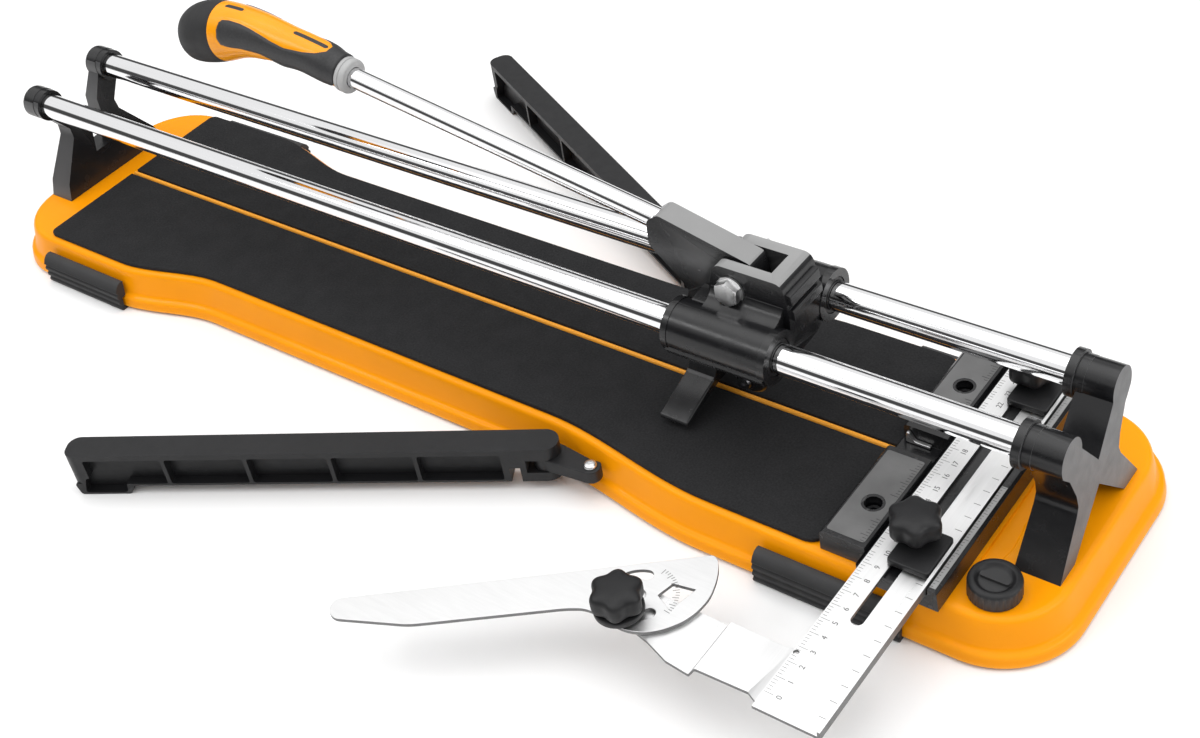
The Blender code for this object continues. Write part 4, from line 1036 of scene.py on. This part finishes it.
# ---------------------------------------------------------------- carriage
def carriage():
    """A saddle on both rails with a tall yoke, ribbed on its front face, and banded barrels."""
    half = [(0.0, 46.0), (16.0, 47.0), (24.0, 52.0), (34.0, 62.0), (28.0, 74.0), (20.0, 77.5)]
    made = prism("carriage_body", mirrored(half + [(12.0, 78.5)]), 195.0, 246.4, ACROSS_X)
    side_view = [(199.0, 58.0), (250.6, 58.0), (250.6, 84.0), (247.0, 99.9), (206.5, 99.9), (203.0, 86.0)]
    parts = [prism("yoke", rounded(side_view, 5.0, 8), -CHEEK, CHEEK, ACROSS_Y)]
    flank = [(14.0, 60.0), (14.0, 89.0), (15.3, 85.0), (17.2, 82.0), (20.0, 79.9)]
    flank += [(24.0, 78.9), (28.0, 78.6), (28.0, 60.0)]
    ledge = [(30.0, 49.4), (39.5, 53.0), (42.0, 57.2), (41.0, 60.0), (30.0, 58.0)]
    for side in (-1, 1):
        for name, start, end, radius in (
            ("barrel", 188.2, 250.8, 14.5),
            ("end_ring", 246.5, 251.0, 14.9),
            ("start_ring", 188.0, 191.6, 14.9),
        ):
            parts.append(along_rail(name, start, end, side, radius, 72))
        parts.append(prism("flank", [(side * y, z) for y, z in flank], 204.0, 247.0, ACROSS_X))
        parts.append(prism("ledge", [(side * y, z) for y, z in ledge], 190.0, 249.0, ACROSS_X))
    for rib in (
        [(248.0, 88.0), (252.4, 87.0), (251.2, 93.0), (247.0, 93.5)],
        [(248.0, 79.0), (253.0, 78.0), (252.8, 84.0), (248.0, 85.0)],
    ):
        parts.append(prism("rib", rounded(rib, 1.0), -13.6, 13.6, ACROSS_Y))
    combine(made, *parts, operation="UNION")
    tools = [block("slot", (150, -8.2, 20), (237.5, 8.2, 130))]
    tools += [along_rail("bore", 150, 300, side, 10.3, 64) for side in (-1, 1)]
    tools.append(through_pivot("bolt_hole", -40, 40, 4.3))
    combine(made, *tools)
    soften(made, 0.7, 3, 35)
    show(made, "black_casting", "carriage")
    # Painted highlight on the yoke's top faces.
    face_material(made, PAINTED_HIGHLIGHT_TOP, lambda centre, normal: centre.z > 98.5 and normal.z > 0.8)
    for name, side in SIDES:
        bush = along_rail(f"bush_{name}", 188.3, 250.7, side, 10.1, 64)
        combine(bush, along_rail("bore", 150, 300, side, RAIL_RADIUS + 0.25, 64))
        show(soften(bush, 0.3, 2), "nylon", f"{name}_rail_bush", material=MATERIALS["black_plastic"])


def through_pivot(name, start, end, radius, sides=32):
    """A round bar on the lever's pivot axis, from one Y to another."""
    return rod(name, (PIVOT.x, start, PIVOT.z), (PIVOT.x, end, PIVOT.z), radius, sides)


def pivot_bolt():
    """A hex bolt with a chamfered head and washer, and its nut behind."""
    cone = [(0, -30), (6.2, -21.0), (7.6, -20.2), (7.6, -15.2), (0, -15.2)]
    bevelled = lathe("cone", cone, lying_y(PIVOT.x, 0, PIVOT.z), 48)
    hexagon = arc((PIVOT.x, PIVOT.z), BOLT_FLATS / math.sqrt(3), 30, 330, 5)
    head = prism("bolt_head", hexagon, -20.7, -15.3, ACROSS_Y)
    combine(head, bevelled, operation="INTERSECT")
    washer = through_pivot("washer", -16.4, -15.2, 8.2, 48)
    combine(head, washer, through_pivot("shank", -16, 24.5, 4.0), operation="UNION")
    show(soften(head, 0.25, 2, 35), "zinc_steel", "pivot_bolt")
    nut = prism("bolt_nut", hexagon, CHEEK + 0.4, CHEEK + 7.2, ACROSS_Y)
    combine(nut, through_pivot("bore", 0, 40, 4.2))
    show(soften(nut, 0.4, 2, 35), "zinc_steel", "pivot_nut")


# ---------------------------------------------------------------- lever, handle and wheel
def rod_direction():
    return (NECK - ROD_START).normalized()


def lever():
    """The lever's block, the stem of the breaker foot and the wheel's fork."""
    outline = [
        (168.0, 113.0), (160.5, 107.0), (160.0, 92.0), (183.0, 69.5), (180.0, 58.0), (179.5, 22.6),
        (195.5, 22.6), (196.8, 50.0), (201.5, 53.0), (205.5, 40.0), (206.5, 13.0), (209.0, 9.8),
        (215.0, 9.8), (217.5, 13.0), (219.0, 40.0), (226.5, 64.0), (228.0, 78.0), (226.0, 92.0),
        (224.0, 99.5),
    ]
    made = prism("lever_casting", rounded(outline, 2.4, 4), -7.0, 7.0, ACROSS_Y)
    tools = []
    for low, high in ((-14.8, -5.2), (5.2, 14.8)):
        tools.append(block("side", (199.0, low, 0), (250.0, high, 48)))
    tools.append(block("wheel_slot", (199.0, -1.7, 0), (250.0, 1.7, 28.0)))
    tools.append(rod("rod_bore", ROD_START - rod_direction(), NECK, ROD_RADIUS + 0.2, 48))
    tools.append(through_pivot("bolt_bore", -20, 20, 4.3))
    combine(made, *tools)
    show(soften(made, 0.7, 3, 35), "black_casting", "lever_block")
    # Painted highlight on the lever's top faces.
    face_material(made, PAINTED_HIGHLIGHT_TOP, lambda centre, normal: centre.z > 98.0 and normal.z > 0.8)
    half = [(0.0, 22.4), (9.0, 22.4), (13.0, 16.0), (41.4, 6.6), (41.4, 3.5), (38.0, 3.5)]
    half += [(8.0, 11.0), (0.0, 11.0)]
    foot = prism("breaker", mirrored(half), 178.6, 197.0, ACROSS_X)
    show(soften(foot, 1.1, 3, 25), "black_casting", "breaker_foot")
    # Painted sheen on the foot's top faces.
    face_material(foot, PAINTED_SHEEN_FACE, lambda centre, normal: normal.z > 0.6 and abs(centre.y) < 16.0)


def wheel():
    place = lying_y(WHEEL_CENTRE.x, -1.1, WHEEL_CENTRE.z)
    profile = [(2.4, 2.2), (9.7, 2.2), (11.0, 1.1), (9.7, 0.0), (2.4, 0.0)]
    turned("wheel_disc", profile, place, 96, "carbide", "scoring_wheel", sharp=25)
    axle = [(0, 7.2), (1.9, 7.2), (1.9, -5.6), (4.2, -5.6), (3.8, -7.6), (1.4, -7.8)]
    axle += [(1.4, -6.8), (0, -6.8)]
    place = lying_y(WHEEL_CENTRE.x, 0, WHEEL_CENTRE.z)
    turned("wheel_axle", axle, place, 32, "zinc_steel", "wheel_axle_screw", MATERIALS["carbide"])


def grip_place():
    """A frame at the neck: X up and square to the rod, Y sideways, Z along the rod to the grip's end."""
    along = rod_direction()
    up = Vector((0, 1, 0)).cross(along).normalized()
    up = up if up.z > 0 else -up
    place = Matrix((up, along.cross(up), along)).transposed().to_4x4()
    place.translation = NECK
    return place


# Stations along the grip: distance from the neck, drop below the rod's axis, half height, half width.
GRIP_BODY = [
    (-5.0, -1.0, 10.2, 10.0), (0.0, -1.2, 10.6, 10.4), (7.0, -2.0, 11.5, 11.2), (23.0, -2.4, 11.5, 11.2),
    (35.5, -1.2, 12.3, 11.8), (48.0, -0.6, 13.0, 12.4), (61.0, 1.1, 14.4, 13.7), (72.5, 3.8, 15.9, 15.1),
    (82.5, 7.2, 17.2, 16.3), (88.3, 9.3, 17.9, 17.0),
]
GRIP_CAP = [
    (88.6, 9.4, 17.9, 17.0), (92.5, 11.0, 18.4, 17.5), (97.0, 12.8, 19.0, 18.0),
    (104.0, 15.5, 19.6, 18.7), (110.0, 17.3, 19.1, 18.2), (116.0, 18.2, 16.6, 15.8),
    (121.5, 18.7, 12.2, 11.6), (125.5, 19.0, 6.8, 6.5), (127.3, 19.1, 1.2, 1.2),
]
# The inlay on the grip's sides: distance along, and depth across as it is seen from above the front.
INLAY = [
    (-3, -34), (8, -34), (9.5, -16), (13, -5.8), (19, -2.0), (27, 0.6), (40, 3.0), (50, 2.7), (58, 1.9),
    (68, 1.0), (76, 0.8), (84, 1.6), (88.6, 2.9), (90.2, 5.4), (89.2, 10.0), (86.0, 14.4), (81.5, 16.5),
    (76, 16.0), (66, 13.6), (54, 11.8), (44, 11.7), (34, 12.3), (20, 12.2), (8, 12.0), (-3, 12.0),
]
# The black slots on the grip's top: the middle and half the length of each.
GRIP_SLOTS = ((18.5, 11.5), (79.3, 6.0))
GRIP_TILT = 0.24
GRIP_SIDES = 96


def catmull(stations, steps):
    """A smooth curve through the stations."""
    made = []
    last = len(stations) - 1
    for i in range(last):
        near = [Vector(stations[min(max(k, 0), last)]) for k in (i - 1, i, i + 1, i + 2)]
        p0, p1, p2, p3 = near
        for k in range(steps):
            t = k / steps
            squared = (2 * p0 - 5 * p1 + 4 * p2 - p3) * t**2
            cubed = (3 * p1 - p0 - 3 * p2 + p3) * t**3
            made.append(0.5 * (2 * p1 + (p2 - p0) * t + squared + cubed))
    made.append(Vector(stations[last]))
    return made


def signed_distance(point, polygon):
    """Distance from a point to a closed polygon, positive inside."""
    best = 1e9
    inside = False
    x, y = point
    for (x0, y0), (x1, y1) in zip(polygon, polygon[1:] + polygon[:1]):
        dx, dy = x1 - x0, y1 - y0
        t = min(max(((x - x0) * dx + (y - y0) * dy) / (dx * dx + dy * dy + 1e-9), 0.0), 1.0)
        best = min(best, (x0 + t * dx - x) ** 2 + (y0 + t * dy - y) ** 2)
        if (y0 > y) != (y1 > y) and x < (x1 - x0) * (y - y0) / (y1 - y0) + x0:
            inside = not inside
    return math.sqrt(best) * (1 if inside else -1)


def grip_section(station, tilt):
    """The ring of one station, in the neck's frame: (up, side, along)."""
    along, drop, height, width = station
    ring = []
    for angle in angles(GRIP_SIDES):
        rise = height * math.cos(angle)
        ring.append(Vector((rise - drop, width * math.sin(angle), along + tilt * rise)))
    return ring


def inlay_value(point):
    """How far inside the black inlay or the top slots a point of the grip is, in millimetres."""
    up, side, along = point
    across = -0.625 * up + 0.78 * abs(side)
    seen = along + 0.59 * up + 0.36 * abs(side)
    value = signed_distance((seen, across), INLAY)
    for middle, half in GRIP_SLOTS:
        beyond = max(abs(along - middle) - half, 0.0)
        off = abs(side) if up > -8 else 20.0
        value = max(value, 1.5 - math.hypot(beyond, off))
    return value


def grip():
    """The orange shell with its soft inlay, the tilted end cap and the collar."""
    place = grip_place()
    rings = []
    values = []
    for station in catmull(GRIP_BODY, 14):
        share = smooth((station[0] - 60) / 30)
        ring = []
        for point in grip_section(station, GRIP_TILT * share):
            value = inlay_value(point)
            centre = Vector((-station[1], 0, point.z))
            outward = (point - centre).normalized()
            groove = 0.45 * math.exp(-((value / 0.55) ** 2))
            raised = 0.3 * smooth(value / 1.2)
            ring.append(place @ (point + outward * (raised - groove)))
            values.append(value)
        rings.append(ring)
    body = loft("grip_shell", rings)
    field = body.data.attributes.new("inlay", "FLOAT", "POINT")
    field.data.foreach_set("value", values)
    body.data.shade_smooth()
    show(body, "orange_plastic", "grip_body")
    cap_rings = []
    for station in catmull(GRIP_CAP, 8):
        fade = 1 - smooth((station[0] - 90) / 24)
        cap_rings.append([place @ p for p in grip_section(station, GRIP_TILT * fade)])
    cap = loft("grip_cap", cap_rings)
    show(smooth_shade(cap, 60), "soft_grip", "grip_end_cap")
    collar = [(6.3, 7.2), (9.7, 7.2), (10.2, 6.8), (10.4, 6.0), (10.4, 4.6), (9.9, 4.3), (9.9, 3.8)]
    collar += [(10.4, 3.5), (10.4, 1.5), (10.1, 0.6), (9.4, 0.1), (6.3, 0.0)]
    turned("neck_collar", collar, place @ standing(0, 0, -12.6), 64, "grey_plastic", "grip_collar")
    tube = rod("handle_tube", ROD_START, NECK + rod_direction() * 70.0, ROD_RADIUS, 64)
    show(soften(tube, 0.4, 2), "chrome", "handle_rod")


# ---------------------------------------------------------------- wheel store and small fixings
def wheel_store():
    """The twist-off cap with a fluted side, a raised rim and a finger bar, over the spare wheel."""
    x, y = CAP_CENTRE
    base = TRAY_TOP + 0.3
    cap = [(0, 5.6), (7.6, 5.6), (8.6, 5.9), (9.4, 7.0), (10.2, 7.4), (11.6, 7.3), (12.8, 6.6), (13.3, 5.4)]
    cap += [(13.4, base + 0.5), (13.0, base), (11.4, base), (11.2, 4.4), (0, 4.4)]
    made = lathe("store_lid", cap, standing(x, y), 96)
    flutes = []
    for angle in angles(24):
        u, v = x + 14.2 * math.cos(angle), y + 14.2 * math.sin(angle)
        flutes.append(rod("flute", (u, v, base - 1), (u, v, 4.4), 1.15, 12))
    combine(made, join(*flutes))
    corners = rounded(rectangle(x - 7.6, y - 1.7, x + 7.6, y + 1.7), 1.4)
    combine(made, prism("bar", corners, 5.0, 7.2), operation="UNION")
    show(soften(made, 0.25, 2, 45), "black_plastic", "wheel_store_cap")
    peg = [(0, 3.4), (2.0, 3.4), (2.0, base + 1.2), (9.0, base + 1.2), (9.0, base), (0, base)]
    turned("store_peg", peg, standing(x, y), 40, "black_plastic", "wheel_store_base")
    spare = [(2.4, 2.1), (9.7, 2.1), (10.6, 1.0), (9.7, -0.1), (2.4, -0.1)]
    turned("spare_disc", spare, standing(x, y), 64, "carbide", "spare_wheel", sharp=25)


def pan_screws():
    """The brackets' screws, driven up from under the tray, with a cross recess in each head."""
    places = {
        "left_front": (-328.0, -34.0), "left_rear": (-328.0, 34.0),
        "right_front": (400.0, -33.5), "right_rear": (400.0, 33.5),
    }
    under = TRAY_TOP - 2.1
    profile = [(0, 6.2), (2.6, 6.2), (2.6, under), (5.2, under - 0.5), (5.0, under - 1.6)]
    profile += [(4.0, under - 2.8), (0, under - 3.4)]
    for name, (x, y) in places.items():
        made = lathe(f"pan_{name}", profile, standing(x, y), 32)
        for u, v in ((2.6, 0.5), (0.5, 2.6)):
            combine(made, block("cross", (x - u, y - v, under - 5), (x + u, y + v, under - 1.8)))
        show(smooth_shade(made), "zinc_steel", f"bracket_screw_{name}")


# ---------------------------------------------------------------- stage, light and camera
def floor_material():
    made = base_material("studio_floor", (0.9, 0.9, 0.9), 0.7)
    shade = blend_colours(made, noise(made, 3.0), (0.89, 0.89, 0.89), (0.91, 0.91, 0.91))
    connect(made, shade, "Base Color")
    return made


def stage():
    reach = 20000
    corners = rounded(rectangle(-reach, -reach, reach, reach), 3000, 12)
    floor = prism("studio_floor", corners, BENCH - 6.1, BENCH - 0.1)
    floor.data.materials.append(floor_material())


def area_light(name, place, target, size, power):
    data = bpy.data.lights.new(name, "AREA")
    data.shape = "RECTANGLE"
    data.size, data.size_y = size
    data.energy = power
    light = place_in_scene(name, data)
    light.location = Vector(place) * MM
    aim = (Vector(target) - Vector(place)).normalized()
    light.rotation_mode = "QUATERNION"
    light.rotation_quaternion = aim.to_track_quat("-Z", "Y")


def lights():
    """Soft studio light: a pale surround with a darker belt near the horizon, and three soft boxes."""
    world = bpy.data.worlds.new("studio")
    bpy.context.scene.world = world
    world.use_nodes = True
    place = add_node(world, "TexCoord")
    split = add_node(world, "SeparateXYZ")
    ramp = add_node(world, "ValToRGB")
    link(world, place.outputs["Generated"], split.inputs["Vector"])
    link(world, split.outputs["Z"], ramp.inputs["Fac"])
    stops = [(0.0, 0.25), (0.1, 0.06), (0.38, 0.08), (0.43, 0.95), (0.74, 0.95), (0.88, 1.9), (1.0, 1.9)]
    for position, _ in stops[1:-1]:
        ramp.color_ramp.elements.new(position)
    for element, (position, level) in zip(ramp.color_ramp.elements, stops):
        element.position = position
        element.color = (level, level, level, 1.0)
    background = world.node_tree.nodes["Background"]
    background.inputs["Strength"].default_value = 1.0
    link(world, ramp.outputs["Color"], background.inputs["Color"])
    area_light("key", (-950, -1000, 1450), (50, 0, 0), (1.2, 0.25), 5.5)
    area_light("top", (-200, 300, 1900), (50, 0, 0), (1.8, 1.2), 4)
    area_light("side", (1900, 300, 900), (100, 0, 30), (1.2, 1.0), 9)


def camera():
    data = bpy.data.cameras.new("camera")
    data.lens = CAMERA_LENS
    data.sensor_width = 36.0
    data.clip_start = 0.05
    data.clip_end = 50.0
    made = place_in_scene("camera", data)
    back = -Vector(CAMERA_FORWARD).normalized()
    right = Vector(CAMERA_RIGHT)
    right = (right - right.dot(back) * back).normalized()
    turn = Matrix((right, back.cross(right), back)).transposed()
    made.rotation_mode = "QUATERNION"
    made.rotation_quaternion = turn.to_quaternion()
    made.location = Vector(CAMERA_PLACE) * MM
    bpy.context.scene.camera = made


def build():
    tray()
    pads()
    ridge()
    feet()
    left_bracket()
    right_bracket()
    rails()
    fence()
    fence_labels()
    pointer()
    ruler()
    clamp_sets()
    mitre_arm()
    mitre_fasteners()
    support_arms()
    carriage()
    pivot_bolt()
    lever()
    wheel()
    grip()
    wheel_store()
    pan_screws()
    stage()
    lights()
    camera()


build()
bpy.context.scene.view_settings.view_transform = "Standard"
